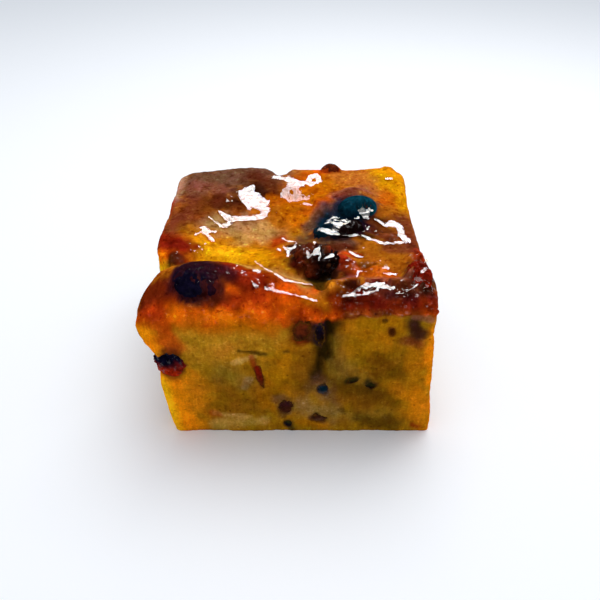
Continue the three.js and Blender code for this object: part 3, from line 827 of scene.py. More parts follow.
@dataclass(frozen=True)
class BakedCustardBread:
    """Bread soaked in custard, oven-baked and cut with a knife."""

    # It gives the eye a dull, waxy yellow crumb that glows faintly from inside, flecked, streaked
    # the way the knife went and dotted with pores, and over it a browner crust with burnt specks,
    # which glints where sugar dried on its crags.
    name: str = "baked custard bread"
    cast: Pattern = Pattern(6.5, 2.0)  # patches where the colour leans to olive or to orange
    mottle: Pattern = Pattern(2.2, 7.0)  # the bread's lighter and darker flecks
    fleck: Pattern = Pattern(1.3, 4.0)  # pale flecks of the crumb, burnt specks of the crust
    # By estimate, real crumb has cells of 0.2 mm and fibres of 0.3 mm, and sugar dries in specks
    # of 0.3 mm; the three are drawn coarser, so that they show.
    grain: Pattern = Pattern(0.55, 3.0)  # the crumb's cells
    fibre: Pattern = Pattern(0.7, 3.0)  # the way the knife went, down the cuts
    speck: Pattern = Pattern(1.1, 2.0)  # dried sugar on the crags
    bead: Pattern = Pattern(1.5, 1.0)  # waves in the sugar's surface
    slender: float = 0.16  # a fibre's width over its length
    pore_mm: float = 2.6  # spacing of the fine pores
    relief_mm: float = 0.22  # height of the grain and the flecks
    wave_mm: float = 2.0  # height of the waves in the sugar
    roughness: float = 0.6
    sugar_roughness: float = 0.08
    glow: float = 0.25  # share of the light that goes inside
    glow_mm: float = 0.8  # how far it wanders there
    glow_spread: Triple = (1.0, 0.42, 0.1)  # red light goes furthest, blue hardly in at all
    ior: float = 1.42

    def build(self) -> bpy.types.Material:
        """Builds the material from the attributes tint, crumb and wet.

        Returns:
            The material.
        """
        material, tree = new_material(self.name)
        place = add_node(tree, "TexCoord").outputs["Object"]
        tint = add_node(tree, "Attribute", {"attribute_name": "tint"}).outputs["Color"]
        crumb = add_node(tree, "Attribute", {"attribute_name": "crumb"}).outputs["Fac"]
        wet = add_node(tree, "Attribute", {"attribute_name": "wet"}).outputs["Fac"]

        # colour all over, then what only the crumb or only the crust has
        cast = add_node(tree, "TexNoise", self.cast.settings, Vector=place)
        mottle = add_node(tree, "TexNoise", self.mottle.settings, Vector=place)
        grain = add_node(tree, "TexNoise", self.grain.settings, Vector=place)
        fleck = add_node(tree, "TexNoise", self.fleck.settings, Vector=place)
        colour = toned(tree, tint, cast, (0.88, 1.0, 0.8), (1.1, 0.98, 1.2), (0.3, 0.7))
        colour = toned(tree, colour, mottle, (0.74, 0.68, 0.54), (1.2, 1.24, 1.4), (0.28, 0.72))
        colour = toned(tree, colour, grain, (0.9, 0.87, 0.8), (1.08, 1.12, 1.3), (0.33, 0.67))
        pale = toned(tree, colour, fleck, (1.0, 1.0, 1.0), (1.3, 1.42, 2.3), (0.58, 0.7))
        crisp = toned(tree, colour, fleck, (1.0, 1.0, 1.0), (1.3, 1.9, 1.8), (0.6, 0.66))
        burnt = toned(tree, crisp, fleck, (0.6, 0.4, 0.34), (1.0, 1.0, 1.0), (0.34, 0.41))
        drawn = add_node(tree, "Mapping", {"Scale": (1.0, 1.0, self.slender)}, Vector=place)
        fibre = add_node(tree, "TexNoise", self.fibre.settings, Vector=drawn)
        streak = add_node(tree, "MapRange", {1: 0.35, 2: 0.7, 3: 0.9, 4: 1.16}, Value=fibre)
        streaked = add_node(tree, "VectorMath", {"operation": "SCALE"}, Vector=pale, Scale=streak)
        mix = add_node(tree, "Mix", {"data_type": "RGBA"}, n0=crumb, n6=burnt, n7=streaked)
        colour = mix.outputs[2]

        # pores in the crumb: painted shade in them, and a little deeper
        pores = add_node(tree, "TexVoronoi", {"Scale": 1 / (self.pore_mm * MM)}, Vector=place)
        pore = add_node(tree, "MapRange", {1: 0.04, 2: 0.16, 3: 0.8, 4: 0.0}, Value=pores)
        pore = add_node(tree, "Math", {"operation": "MULTIPLY"}, n0=pore, n1=crumb)
        dark = add_node(tree, "VectorMath", {"operation": "MULTIPLY", 1: (0.5, 0.4, 0.3)}, n0=colour)
        mix = add_node(tree, "Mix", {"data_type": "RGBA"}, n0=pore, n6=colour, n7=dark)
        colour = mix.outputs[2]
        height = add_node(tree, "Math", {"operation": "MULTIPLY_ADD", 1: 0.5}, n0=grain, n2=mottle)
        height = add_node(tree, "Math", {"operation": "SUBTRACT"}, n0=height, n1=pore)
        bump = add_node(tree, "Bump", {"Strength": 0.6, "Distance": self.relief_mm * MM}, Height=height)

        # specks of dried sugar, waved so that each catches the light in its own place
        speck = add_node(tree, "TexNoise", self.speck.settings, Vector=place)
        sugar = add_node(tree, "MapRange", {1: 0.56, 2: 0.63}, Value=speck)
        sugar = add_node(tree, "Math", {"operation": "MULTIPLY"}, n0=sugar, n1=wet)
        bead = add_node(tree, "TexNoise", self.bead.settings, Vector=place)
        beads = add_node(tree, "Bump", {"Strength": 1.0, "Distance": self.wave_mm * MM}, Height=bead)
        body = add_node(
            tree,
            "BsdfPrincipled",
            {
                "IOR": self.ior,
                "Roughness": self.roughness,
                "Subsurface Weight": self.glow,
                "Subsurface Radius": self.glow_spread,
                "Subsurface Scale": self.glow_mm * MM,
                "Specular IOR Level": 0.0,  # only the dried sugar on it mirrors
                "Coat Roughness": self.sugar_roughness,
            },
            Base_Color=colour,
            Coat_Weight=sugar,
            Coat_Normal=beads,
            Normal=bump,
        )
        add_node(tree, "OutputMaterial", Surface=body)
        return material


@dataclass(frozen=True)
class PlumpedFruitSkin:
    """Skin of dried fruit, plumped in custard and baked."""

    # It gives the eye a dark, taut, finely wrinkled skin, cloudy with redder and bluer places,
    # and small hard glints where syrup dried on it.
    name: str = "plumped raisin skin"
    cloud: Pattern = Pattern(1.3, 5.0)  # its lighter and darker places
    # By estimate, a raisin's finest wrinkles are 0.2 mm apart, and syrup dries on it in drops
    # of 0.3 mm; both are drawn coarser, so that they show.
    wrinkle: Pattern = Pattern(0.5, 2.0)
    speck: Pattern = Pattern(1.0, 2.0)
    wrinkle_mm: float = 0.25  # height of the finest wrinkles
    wave_mm: float = 1.2  # height of the waves in the dried syrup
    roughness: float = 0.5
    sugar_roughness: float = 0.08
    glow: float = 0.08  # share of the light that goes inside
    glow_mm: float = 0.8  # how far it wanders there
    glow_spread: Triple = (1.0, 0.3, 0.3)  # red light goes furthest
    ior: float = 1.45

    def build(self) -> bpy.types.Material:
        """Builds the material from the attributes tint and gloss.

        Returns:
            The material.
        """
        material, tree = new_material(self.name)
        place = add_node(tree, "TexCoord").outputs["Object"]
        tint = add_node(tree, "Attribute", {"attribute_name": "tint"}).outputs["Color"]
        gloss = add_node(tree, "Attribute", {"attribute_name": "gloss"}).outputs["Fac"]
        cloud = add_node(tree, "TexNoise", self.cloud.settings, Vector=place)
        colour = toned(tree, tint, cloud, (0.4, 0.35, 0.35), (1.8, 1.6, 1.5), (0.3, 0.7))
        fine = add_node(tree, "TexNoise", self.wrinkle.settings, Vector=place)
        bump = add_node(tree, "Bump", {"Strength": 0.5, "Distance": self.wrinkle_mm * MM}, Height=fine)
        speck = add_node(tree, "TexNoise", self.speck.settings, Vector=place)
        sugar = add_node(tree, "MapRange", {1: 0.54, 2: 0.6}, Value=speck)
        sugar = add_node(tree, "Math", {"operation": "MULTIPLY"}, n0=sugar, n1=gloss)
        beads = add_node(tree, "Bump", {"Strength": 1.0, "Distance": self.wave_mm * MM}, Height=speck)
        body = add_node(
            tree,
            "BsdfPrincipled",
            {
                "IOR": self.ior,
                "Roughness": self.roughness,
                "Specular IOR Level": 0.0,  # only the dried syrup on it mirrors
                "Coat Roughness": self.sugar_roughness,
                "Subsurface Weight": self.glow,
                "Subsurface Radius": self.glow_spread,
                "Subsurface Scale": self.glow_mm * MM,
            },
            Base_Color=colour,
            Coat_Weight=sugar,
            Coat_Normal=beads,
            Normal=bump,
        )
        add_node(tree, "OutputMaterial", Surface=body)
        return material


@dataclass(frozen=True)
class AmberSyrup:
    """Sugar syrup dried to a clear glaze."""

    # It gives the eye a wet film: the crust shows through it, a little warmer, and where it lies
    # level it mirrors the light behind in white patches with sharp rims.
    name: str = "dried amber syrup glaze"
    flow: Pattern = Pattern(1.1, 4.0)  # clearer and duller places in it
    tint: str = "#f2d2a0"
    roughness: float = 0.05
    ior: float = 1.6

    def build(self) -> bpy.types.Material:
        """Builds a film that tints what is under it and mirrors by Fresnel's law.

        The attribute sheet, 1 inside a run and 0 at its rim, lets the rim fade away.

        Returns:
            The material.
        """
        material, tree = new_material(self.name)
        sheet = add_node(tree, "Attribute", {"attribute_name": "sheet"}).outputs["Fac"]
        ends = {"data_type": "RGBA", 6: (1, 1, 1, 1), 7: (*linear(self.tint), 1)}
        film = add_node(tree, "BsdfTransparent", Color=add_node(tree, "Mix", ends, n0=sheet).outputs[2])
        gloss = add_node(tree, "BsdfGlossy", {"Color": (1, 1, 1, 1), "Roughness": self.roughness})
        fresnel = add_node(tree, "Fresnel", {"IOR": self.ior})
        place = add_node(tree, "TexCoord").outputs["Object"]
        flow = add_node(tree, "TexNoise", self.flow.settings, Vector=place)
        body = add_node(tree, "MapRange", {1: 0.35, 2: 0.6, 3: 0.5, 4: 1.1}, Value=flow)
        share = add_node(tree, "Math", {"operation": "MULTIPLY"}, n0=fresnel, n1=sheet)
        share = add_node(tree, "Math", {"operation": "MULTIPLY"}, n0=share, n1=body)
        mix = add_node(tree, "MixShader", n0=share, n1=film, n2=gloss)
        add_node(tree, "OutputMaterial", Surface=mix)
        return material


@dataclass(frozen=True)
class MattWhiteTable:
    """A tabletop painted matt white."""

    # It gives the eye a plain, nearly white ground with soft shadows and no reflection.
    name: str = "matt white table"
    colour: str = "#fbfcfd"
    roughness: float = 0.7

    def build(self) -> bpy.types.Material:
        """Builds the material.

        Returns:
            The material.
        """
        material, tree = new_material(self.name)
        settings = {
            "Base Color": (*linear(self.colour), 1),
            "Roughness": self.roughness,
            "Specular IOR Level": 0.0,
        }
        add_node(tree, "OutputMaterial", Surface=add_node(tree, "BsdfPrincipled", settings))
        return material


# ---- Fruit ----


@dataclass
class Fruit:
    """A raisin or a strip of peel: a wrinkled ball where the model's node lies."""

    node: str
    tone: Tone
    second: Tone
    turn_to: Triple = (0.0, 0.0, -1.0)  # side that has the second tone
    wrinkle: float = 0.07  # height of its lumps and folds, as a share of its size
    cover: float = 0.3  # depth in mm of the crust under the fruit's surface
    blend: float = 2.0  # height in mm over which the crust climbs its flank
    patchy: float = 0.0  # how unevenly, in mm, the crust lies over it
    juice: Tone = Tone.UMBER
    juice_share: float = 0.7  # strength of the juice's stain at the fruit's skin
    juice_reach: float = 1.5  # where the stain ends, in the fruit's own half sizes
    gloss: float = 0.3  # how much of the skin is glazed
    cut: bool = False  # True where the knife cut it
    seat_mm: float = 0.9  # depth of the dent that it lies in, where it's cut
    proud: float = 0.12  # how far a cut fruit stands out of the face, in mm
    rim_share: float = 0.8  # how dark the rim of a cut fruit is
    columns: int = 128  # cells of its grid round it
    rows: int = 84  # and from pole to pole

    def __post_init__(self) -> None:
        """Reads the node's place, its axes and its half sizes in mm from the frame."""
        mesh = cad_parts[self.node].data
        flat = np.empty(len(mesh.vertices) * 3)
        mesh.vertices.foreach_get("co", flat)
        points = flat.reshape(-1, 3) / MM
        self.low, self.high = points.min(0), points.max(0)
        self.centre = (self.low + self.high) / 2
        spread = np.cov((points - points.mean(0)).T)
        _, self.axes = np.linalg.eigh(spread)
        self.half = np.abs((points - self.centre) @ self.axes).max(0)
        self.seed = float(sum(map(ord, self.node)) % 97)

    @property
    def face(self) -> Face:
        """The cut face nearest to the piece.

        Returns:
            Any face but the top.
        """
        gaps = {
            Face.FRONT: self.centre[1] + SHAPE.depth / 2,
            Face.BACK: SHAPE.depth / 2 - self.centre[1],
            Face.LEFT: self.centre[0] + SHAPE.width / 2,
            Face.RIGHT: SHAPE.width / 2 - self.centre[0],
        }
        return min(gaps, key=gaps.get)

    def local(self, points: Array) -> Array:
        """Elliptical distance of points from the centre: 1 on the piece's plain surface."""
        return np.linalg.norm(((points - self.centre) @ self.axes) / self.half, axis=-1)

    def dome(self, x: Array, y: Array) -> Array:
        """Height in mm of the plain ball over a place in plan, running on steeply downhill beside it.

        Over its middle it is the ellipsoid's upper half, centre + half height * sqrt(q), where q
        is 1 in the middle and 0 at the rim; where q is under 0.1 the slope there runs straight on.

        Args:
            x, y: plan coordinates in mm.

        Returns:
            Heights in mm.
        """
        shape = self.axes @ np.diag(1 / self.half**2) @ self.axes.T
        dx, dy = x - self.centre[0], y - self.centre[1]
        b = shape[0, 2] * dx + shape[1, 2] * dy
        c = shape[0, 0] * dx**2 + 2 * shape[0, 1] * dx * dy + shape[1, 1] * dy**2 - 1
        q = b * b / shape[2, 2] - c
        root = np.where(q > 0.1, np.sqrt(np.maximum(q, 0.1)), 0.316 + 1.58 * (q - 0.1))
        return self.centre[2] - b / shape[2, 2] + root / math.sqrt(shape[2, 2])

    def seat(self, points: Array) -> Array:
        """Depth in mm of the dent that a fruit in a cut face lies in."""
        return self.seat_mm * (1 - smooth(self.local(points), 0.82, 1.08))

    def stain_round(self, tint: Array, points: Array) -> Array:
        """Lays the fruit's juice into the crumb round it, fading out unevenly from its skin.

        Args:
            tint: linear colours, n by 3.
            points: the places in mm that have them.

        Returns:
            The stained colours.
        """
        x, y, z = points.T
        uneven = 0.2 * noise(x / 1.4, y / 1.4, z / 1.4 + self.seed)
        uneven = uneven + 0.1 * noise(x / 0.7, y / 0.7, z / 0.7 + self.seed)
        weight = self.juice_share * (1 - smooth(self.local(points) + uneven, 0.9, self.juice_reach))
        return tint + (np.array(linear(self.juice.value)) - tint) * weight[:, None]

    def build(self, material: bpy.types.Material, film: "SyrupFilm") -> bpy.types.Object:
        """Builds the wrinkled ball.

        A unit ball by longitude and latitude is scaled by 1 + wrinkle times (lumps less folds),
        then by the half sizes along the piece's axes. Where the knife cut it, what stands past
        the face is pressed flat to it.

        Args:
            material: the skin's material.
            film: the syrup, which its top stays under.

        Returns:
            The finished piece.
        """
        lon = np.linspace(0, 2 * math.pi, self.columns, endpoint=False)
        lat = np.linspace(0, math.pi, self.rows + 1)[1:-1]
        lon, lat = np.meshgrid(lon, lat)
        ring = np.stack([np.sin(lat) * np.cos(lon), np.sin(lat) * np.sin(lon), np.cos(lat)], -1)
        ball = np.vstack([ring.reshape(-1, 3), [[0, 0, 1], [0, 0, -1]]])
        p = (ball * 1.6 + self.seed).T
        lumps = noise(*(p * 0.8))
        folds = np.abs(noise(*(p * 1.9)))
        creases = np.abs(noise(*(p * 3.7 + 5)))
        grit = noise(*(p * 7.1 + 9))
        swell = 1 + self.wrinkle * (lumps - 1.3 * folds - 0.7 * creases + 0.2 * grit + 0.55)
        points = self.centre + ((ball * swell[:, None]) * self.half) @ self.axes.T
        points = self.press_flat(points) if self.cut else film.press_under(points)
        rows, columns = self.rows - 1, self.columns
        index = np.arange(rows * columns).reshape(rows, columns)
        right = np.roll(index, -1, axis=1)
        faces = np.stack([index[1:], right[1:], right[:-1], index[:-1]], -1).reshape(-1, 4).tolist()
        north, south = rows * columns, rows * columns + 1
        faces += [[north, a, b] for a, b in zip(index[0].tolist(), right[0].tolist())]
        faces += [[south, b, a] for a, b in zip(index[-1].tolist(), right[-1].tolist())]
        side = ((points - self.centre) / self.half.max()) @ np.array(self.turn_to)
        share = smooth(side + 0.45 * lumps + 0.3 * folds, -0.25, 0.6)[:, None]
        first, second = (np.array(linear(t.value)) for t in (self.tone, self.second))
        tint = first + (second - first) * share
        if self.cut:
            rim = smooth(self.across_cut(points) + 0.35 * grit, 0.5, 1.05)[:, None]
            tint = tint + (np.array(linear(Tone.PEAT.value)) - tint) * self.rim_share * rim
        gloss = np.full(len(points), self.gloss)
        piece = make_piece(f"{self.node}_skin", points, faces, material, tint=tint, gloss=gloss)
        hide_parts(self.node)
        return piece

    def across_cut(self, points: Array) -> Array:
        """Elliptical distance from the centre, seen square to the cut face: 1 on the outline.

        Args:
            points: places in mm, n by 3.

        Returns:
            The distance of each.
        """
        seen = points.copy()
        axis = self.face.axis
        seen[:, axis] = self.centre[axis]
        return self.local(seen)

    def press_flat(self, points: Array) -> Array:
        """Draws the outer half out to the cut face and presses it flat there, a hair proud.

        What lies outside the middle is stretched to 2.5 times as far out, and then kept under the
        level less 0.3 mm * exp(-its distance from the level), which rounds the rim of the cut.

        Args:
            points: the fruit's surface in mm, n by 3.

        Returns:
            The pressed surface.
        """
        axis, sign = self.face.axis, self.face.sign
        level = max(self.high[axis] * sign, self.low[axis] * sign) + self.proud
        out = points[:, axis] * sign
        out = out + 1.5 * np.maximum(out - self.centre[axis] * sign, 0)
        points = points.copy()
        points[:, axis] = sign * np.minimum(out, level - 0.3 * np.exp(-np.abs(level - out)))
        return points


# ---- The block of crumb and crust ----


@dataclass
class PuddingBlock:
    """The pudding itself: one closed skin with crust, cut faces, seams and pores."""

    across: int = 220  # cells of the skin's grid from left to right
    deep: int = 170  # from front to back
    high: int = 78  # down the cuts
    band: float = 1.2  # how far the crust reaches down the cuts, in mm
    low_border: float = 36.8  # height of its lower border on the front left, in mm
    smoothed: float = 0.85  # share of the relief that is gone under syrup
    pit_count: int = 170  # air holes on each cut
    pit_least: float = 0.35  # radius of the smallest, in mm
    pit_more: float = 0.55  # how much larger the largest is
    seed: int = 41
    finish: BakedCustardBread = field(default_factory=BakedCustardBread)

    def build(self, fruit: list[Fruit], film: "SyrupFilm") -> bpy.types.Object:
        """Builds the skin, its relief and its colours.

        Args:
            fruit: the raisins and peel, which the skin makes room for.
            film: the syrup, which the crust stays under.

        Returns:
            The finished piece.
        """
        px, py, share, faces = self.layout()
        points = SHAPE.skin(px, py, share)
        on_top = share >= 1
        wet = film.wetness(points) * on_top
        points = self.draw_up(points, on_top, fruit)
        crust = self.crust_share(points, on_top)
        lift = self.relief(points, px, py, on_top, crust, fruit) * (1 - self.smoothed * wet)
        points = points + self.normals(points, faces) * lift[:, None]
        points[on_top] = film.press_under(points[on_top], self.over_fruit(points[on_top], fruit))
        points[share <= 0, 2] = 0
        tint = self.colours(points, px, py, crust, fruit)
        piece = make_piece(
            "pudding_crumb_and_crust",
            points,
            faces,
            self.finish.build(),
            tint=tint,
            crumb=1 - crust,
            wet=crust * smooth(crag_share(points[:, 0], points[:, 1]), 0.25, 0.7),
        )
        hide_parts("pudding")
        return piece

    def layout(self) -> tuple[Array, Array, Array, list]:
        """Lays out the closed grid: the top, the four walls hung from its rim, and the base.

        Returns:
            Plan coordinates in mm and the share of height for each vertex, and the faces.
        """
        nx, ny, nz = self.across, self.deep, self.high
        xs = np.linspace(-1, 1, nx + 1) * SHAPE.width / 2
        ys = np.linspace(-1, 1, ny + 1) * SHAPE.depth / 2
        top_x, top_y = np.meshgrid(xs, ys)
        top = np.arange((nx + 1) * (ny + 1)).reshape(ny + 1, nx + 1)
        rim = np.concatenate([top[0, :-1], top[:-1, -1], top[-1, :0:-1], top[:0:-1, 0]])
        steps = np.arange(1, nz + 1) / nz
        down = 1 - (0.75 * steps + 0.25 * steps**2)  # rows are closer together under the crust
        rows = np.vstack([rim, top.size + np.arange(nz * len(rim)).reshape(nz, len(rim))])
        beside = np.roll(rows, -1, axis=1)
        top_faces = np.stack([top[:-1, :-1], top[:-1, 1:], top[1:, 1:], top[1:, :-1]], -1)
        wall_faces = np.stack([rows[1:], beside[1:], beside[:-1], rows[:-1]], -1)
        faces = np.concatenate([top_faces.reshape(-1, 4), wall_faces.reshape(-1, 4)]).tolist()
        faces.append(rows[-1][::-1].tolist())
        px = np.concatenate([top_x.ravel(), np.tile(top_x.ravel()[rim], nz)])
        py = np.concatenate([top_y.ravel(), np.tile(top_y.ravel()[rim], nz)])
        share = np.concatenate([np.ones(top.size), np.repeat(down, len(rim))])
        return px, py, share, faces

    @staticmethod
    def normals(points: Array, faces: list) -> Array:
        """Outward unit normals of the skin's vertices.

        Args:
            points: the vertices, n by 3.
            faces: lists of vertex numbers.

        Returns:
            The normals, n by 3.
        """
        mesh = bpy.data.meshes.new("scratch")
        mesh.from_pydata(points, [], faces)
        flat = np.empty(len(points) * 3)
        mesh.vertices.foreach_get("normal", flat)
        bpy.data.meshes.remove(mesh)
        return flat.reshape(-1, 3)

    @staticmethod
    def draw_up(points: Array, on_top: Array, fruit: list[Fruit]) -> Array:
        """Draws the crust up the flanks of the raisins in it: the smooth maximum of the two heights.

        Args:
            points: the skin in mm.
            on_top: which vertices belong to the top.
            fruit: the raisins and peel.

        Returns:
            The skin with its top drawn up.
        """
        points = points.copy()
        x, y, z = points[on_top].T
        patches = noise(x / 2.4, y / 2.0, 41.0) + 0.5 * noise(x / 1.1, y / 1.0, 43.0)
        for one in fruit:
            if not one.cut:
                z = smooth_max(z, one.dome(x, y) - one.cover + one.patchy * patches, one.blend)
        points[on_top, 2] = z
        return points

    @staticmethod
    def over_fruit(points: Array, fruit: list[Fruit]) -> Array:
        """How far the crust gives way where it lies over or close to a raisin's top.

        Args:
            points: the crust in mm.
            fruit: the raisins and peel.

        Returns:
            Depths in mm.
        """
        x, y, z = points.T
        tops = np.max([one.dome(x, y) for one in fruit if not one.cut], axis=0)
        return 0.5 * smooth(tops - z, -1.2, -0.2)

    def crust_share(self, points: Array, on_top: Array) -> Array:
        """How much each vertex is crust: 1 on top, fading out unevenly a little way down the cuts.

        The border lies a band's depth under the crust's edge, and on the front left, where the
        crust hangs over the cut, at one height instead.

        Args:
            points: the skin in mm.
            on_top: which vertices belong to the top.

        Returns:
            Shares from 0 to 1.
        """
        x, y, z = points.T
        half_w, half_d = SHAPE.width / 2, SHAPE.depth / 2
        edge = SHAPE.crust_height(
            np.clip(x, -half_w - SHAPE.lean / 2, half_w - SHAPE.lean / 2), np.clip(y, -half_d, half_d)
        )
        front_left = (1 - smooth(y, -half_d, -half_d + 4)) * (1 - smooth(x, -2, 14))
        border = edge - self.band + (self.low_border - edge + self.band) * front_left
        border = border + 0.6 * noise(x / 4, y / 4, z / 6) + 0.5 * noise(x / 1.3, y / 1.3, z / 2)
        soft = 0.6 + 1.0 * front_left
        share = smooth((z - border) / soft, -1, 1)
        return share + (1 - share) * on_top * (1 - front_left)

    def relief(
        self, points: Array, px: Array, py: Array, on_top: Array, crust: Array, fruit: list[Fruit]
    ) -> Array:
        """Fine relief along the normals, in mm.

        Crags on the crust, drag marks and grain on the cuts, pits, seams and pockets for fruit.

        Args:
            points: the skin in mm.
            px, py: each vertex's place on the plan.
            on_top: which vertices belong to the top.
            crust: how much each vertex is crust.
            fruit: the raisins and peel.

        Returns:
            The outward shift of each vertex in mm.
        """
        x, y, z = points.T
        fine = 0.10 * noise(x / 1.5, y / 1.5, z / 1.5) + 0.07 * noise(x / 0.75, y / 0.75, z / 0.75)
        along = np.where(np.abs(px) * SHAPE.depth > np.abs(py) * SHAPE.width, y, x)
        drag = 0.07 * noise(along / 0.8, z / 7, 5.0) + 0.10 * noise(along / 2.2, z / 3.5, 9.0)
        lift = fine + crust * crag_share(x, y) * craggy(x, y, z) + (1 - crust) * drag
        lift = lift - self.pits(points, px, py, crust)
        for opening in OPENINGS:
            lift = lift - opening_depth(opening, points, px, py, on_top)
        for one in fruit:
            if one.cut:
                lift = lift - one.seat(points)
        return lift

    def pits(self, points: Array, px: Array, py: Array, crust: Array) -> Array:
        """Depth of the larger air holes, scattered over the cut faces.

        A hole of radius r is 0.75 * r * exp(-(distance / r)^3) deep.

        Args:
            points: the skin in mm.
            px, py: each vertex's place on the plan.
            crust: how much each vertex is crust, which has no such holes.

        Returns:
            Depths in mm.
        """
        rng = np.random.default_rng(self.seed)
        depth = np.zeros(len(points))
        for face in (Face.FRONT, Face.BACK, Face.LEFT, Face.RIGHT):
            on_face, along = face_mask(face, px, py, points)
            where = np.nonzero(on_face)[0]
            u, v = along[where], points[where, 2]
            reach = (SHAPE.depth if face.axis == 0 else SHAPE.width) / 2
            at_u = rng.uniform(-reach, reach, self.pit_count)
            at_v = rng.uniform(1, SHAPE.height - 1, self.pit_count)
            size = self.pit_least + self.pit_more * rng.random(self.pit_count) ** 2.5
            d = np.hypot(u[:, None] - at_u, (v[:, None] - at_v) * 1.15) / size
            depth[where] = np.maximum(depth[where], (0.75 * size * np.exp(-(d**3))).max(1))
        return depth * (1 - crust)

    @staticmethod
    def colours(points: Array, px: Array, py: Array, crust: Array, fruit: list[Fruit]) -> Array:
        """Colour of every vertex: crumb with its stains, painted shade and painted glow, crust with its
        stains, painted shade and painted light on its crags, and fruit juice.

        Args:
            points: the skin in mm.
            px, py: each vertex's place on the plan.
            crust: how much each vertex is crust.
            fruit: the raisins and peel.

        Returns:
            Linear colours, n by 3.
        """
        x, y, z = points.T
        crumb = np.tile(linear(Tone.CRUMB.value), (len(points), 1))
        faces = {
            Face.FRONT: FRONT_STAINS_SHADE_AND_GLOW,
            Face.RIGHT: SIDE_STAINS_AND_GLOW,
            Face.BACK: BACK_STAINS_AND_GLOW,
            Face.LEFT: SIDE_STAINS_AND_GLOW,
        }
        for seed, (face, stains) in enumerate(faces.items()):
            on_face, along = face_mask(face, px, py, points)
            if face is Face.FRONT:
                on_face = on_face | (y < -27.5)  # the rounded edge of the crust too
            crumb[on_face] = lay_stains(crumb[on_face], along[on_face], z[on_face], stains, 20.0 + seed)
        baked = lay_stains(np.tile(linear(Tone.AMBER.value), (len(points), 1)), x, y, CRUST_STAINS_AND_SHADE, 3.0)
        lip = lay_stains(np.tile(linear(Tone.ORANGE.value), (len(points), 1)), x, z, LIP_STAINS, 5.0)
        baked = baked + (lip - baked) * smooth(-y, 27.6, 29.6)[:, None]  # down the front edge
        scorch = noise(x / 1.9, y / 1.9, 31.0) + 0.6 * noise(x / 0.8, y / 0.8, 37.0)
        baked = baked * (1 - np.outer(smooth(scorch, 0.3, 1.1), (0.36, 0.5, 0.6)))  # browner
        # painted shade and painted light on the crags: the hollows between them darker and redder, their
        # tops lighter
        crags = np.clip(2.0 * crag_share(x, y) * craggy(x, y, z), -1.1, 0.9)
        baked = baked * np.exp(np.outer(crags, (1.0, 1.15, 1.2)))
        tint = crumb + (baked - crumb) * crust[:, None]
        for one in fruit:
            tint = one.stain_round(tint, points)
        return tint


def face_mask(face: Face, px: Array, py: Array, points: Array) -> tuple[Array, Array]:
    """Which vertices belong to a cut face, and their coordinate along it.

    Args:
        face: any face but the top.
        px, py: each vertex's place on the plan.
        points: the skin in mm.

    Returns:
        True for each vertex on the face, and x or y in mm for all of them.
    """
    reach = (SHAPE.width, SHAPE.depth)[face.axis] / 2 - 1e-6
    outwards = (px, py)[face.axis] * face.sign
    return outwards >= reach, points[:, 1 - face.axis]


@dataclass(frozen=True)
class Crag:
    """A craggy stretch of crust along a line in plan, in mm, and how craggy it is at its middle."""

    start: Point
    end: Point
    half: float
    most: float


CRAGS = (
    Crag((4, -13), (8, -17), 5.0, 1.0),  # the burnt raisin
    Crag((11, -15), (14, -17), 2.6, 1.0),  # lump beside it
    Crag((17, -17), (21, -18), 2.4, 0.8),  # a smaller one further right
    Crag((10, -28), (29, -27), 3.6, 0.9),  # front right ridge
    Crag((11, -31.5), (31, -31.5), 2.6, 0.8),  # its front edge
    Crag((29, -24), (30, -14), 3.0, 1.0),  # lumps on the right edge
    Crag((-30, -13), (-27, -14), 2.4, 0.35),  # knob at the left groove
    Crag((20, -1), (25, -5), 2.2, 0.7),  # right of the broad raisin
    Crag((-24, 0), (-16, 12), 3.0, 0.25),  # left of the custard basin
    Crag((9, -11), (16, -12), 1.5, 0.9),  # behind the burnt raisin
    Crag((-34, -30), (-26, -31), 3.0, 0.4),  # front left corner
    Crag((-16, -24), (-4, -27), 3.0, 0.5),  # right of the crown
    Crag((-24, -31.5), (8, -31.5), 2.0, 0.45),  # front edge, left half
    Crag((10, 30), (13, 31), 2.0, 0.6),  # crumb on the back edge
)
SMOOTHEST = 0.12  # how craggy the rest of the crust is


def crag_share(x: Array, y: Array) -> Array:
    """How craggy the crust is over a place in plan: the most of its stretches there.

    A stretch gives its own most times exp(-(distance / half)^2).

    Args:
        x, y: plan coordinates in mm.

    Returns:
        Shares: near 0 where it is smooth, 1 on burnt lumps.
    """
    share = np.full(np.broadcast(x, y).shape, SMOOTHEST)
    for crag in CRAGS:
        d = distance_to_line(x, y, crag.start, crag.end) / crag.half
        share = np.maximum(share, crag.most * np.exp(-d * d))
    return share


def craggy(x: Array, y: Array, z: Array) -> Array:
    """Height in mm of the crags where the crust is craggiest: three octaves of noise."""
    lumps = 0.5 * noise(x / 4.2, y / 4.2, z / 4.2)
    return lumps + 0.5 * noise(x / 2.1, y / 2.1, z / 2.1) + 0.36 * noise(x / 1.0, y / 1.0, z / 1.0)


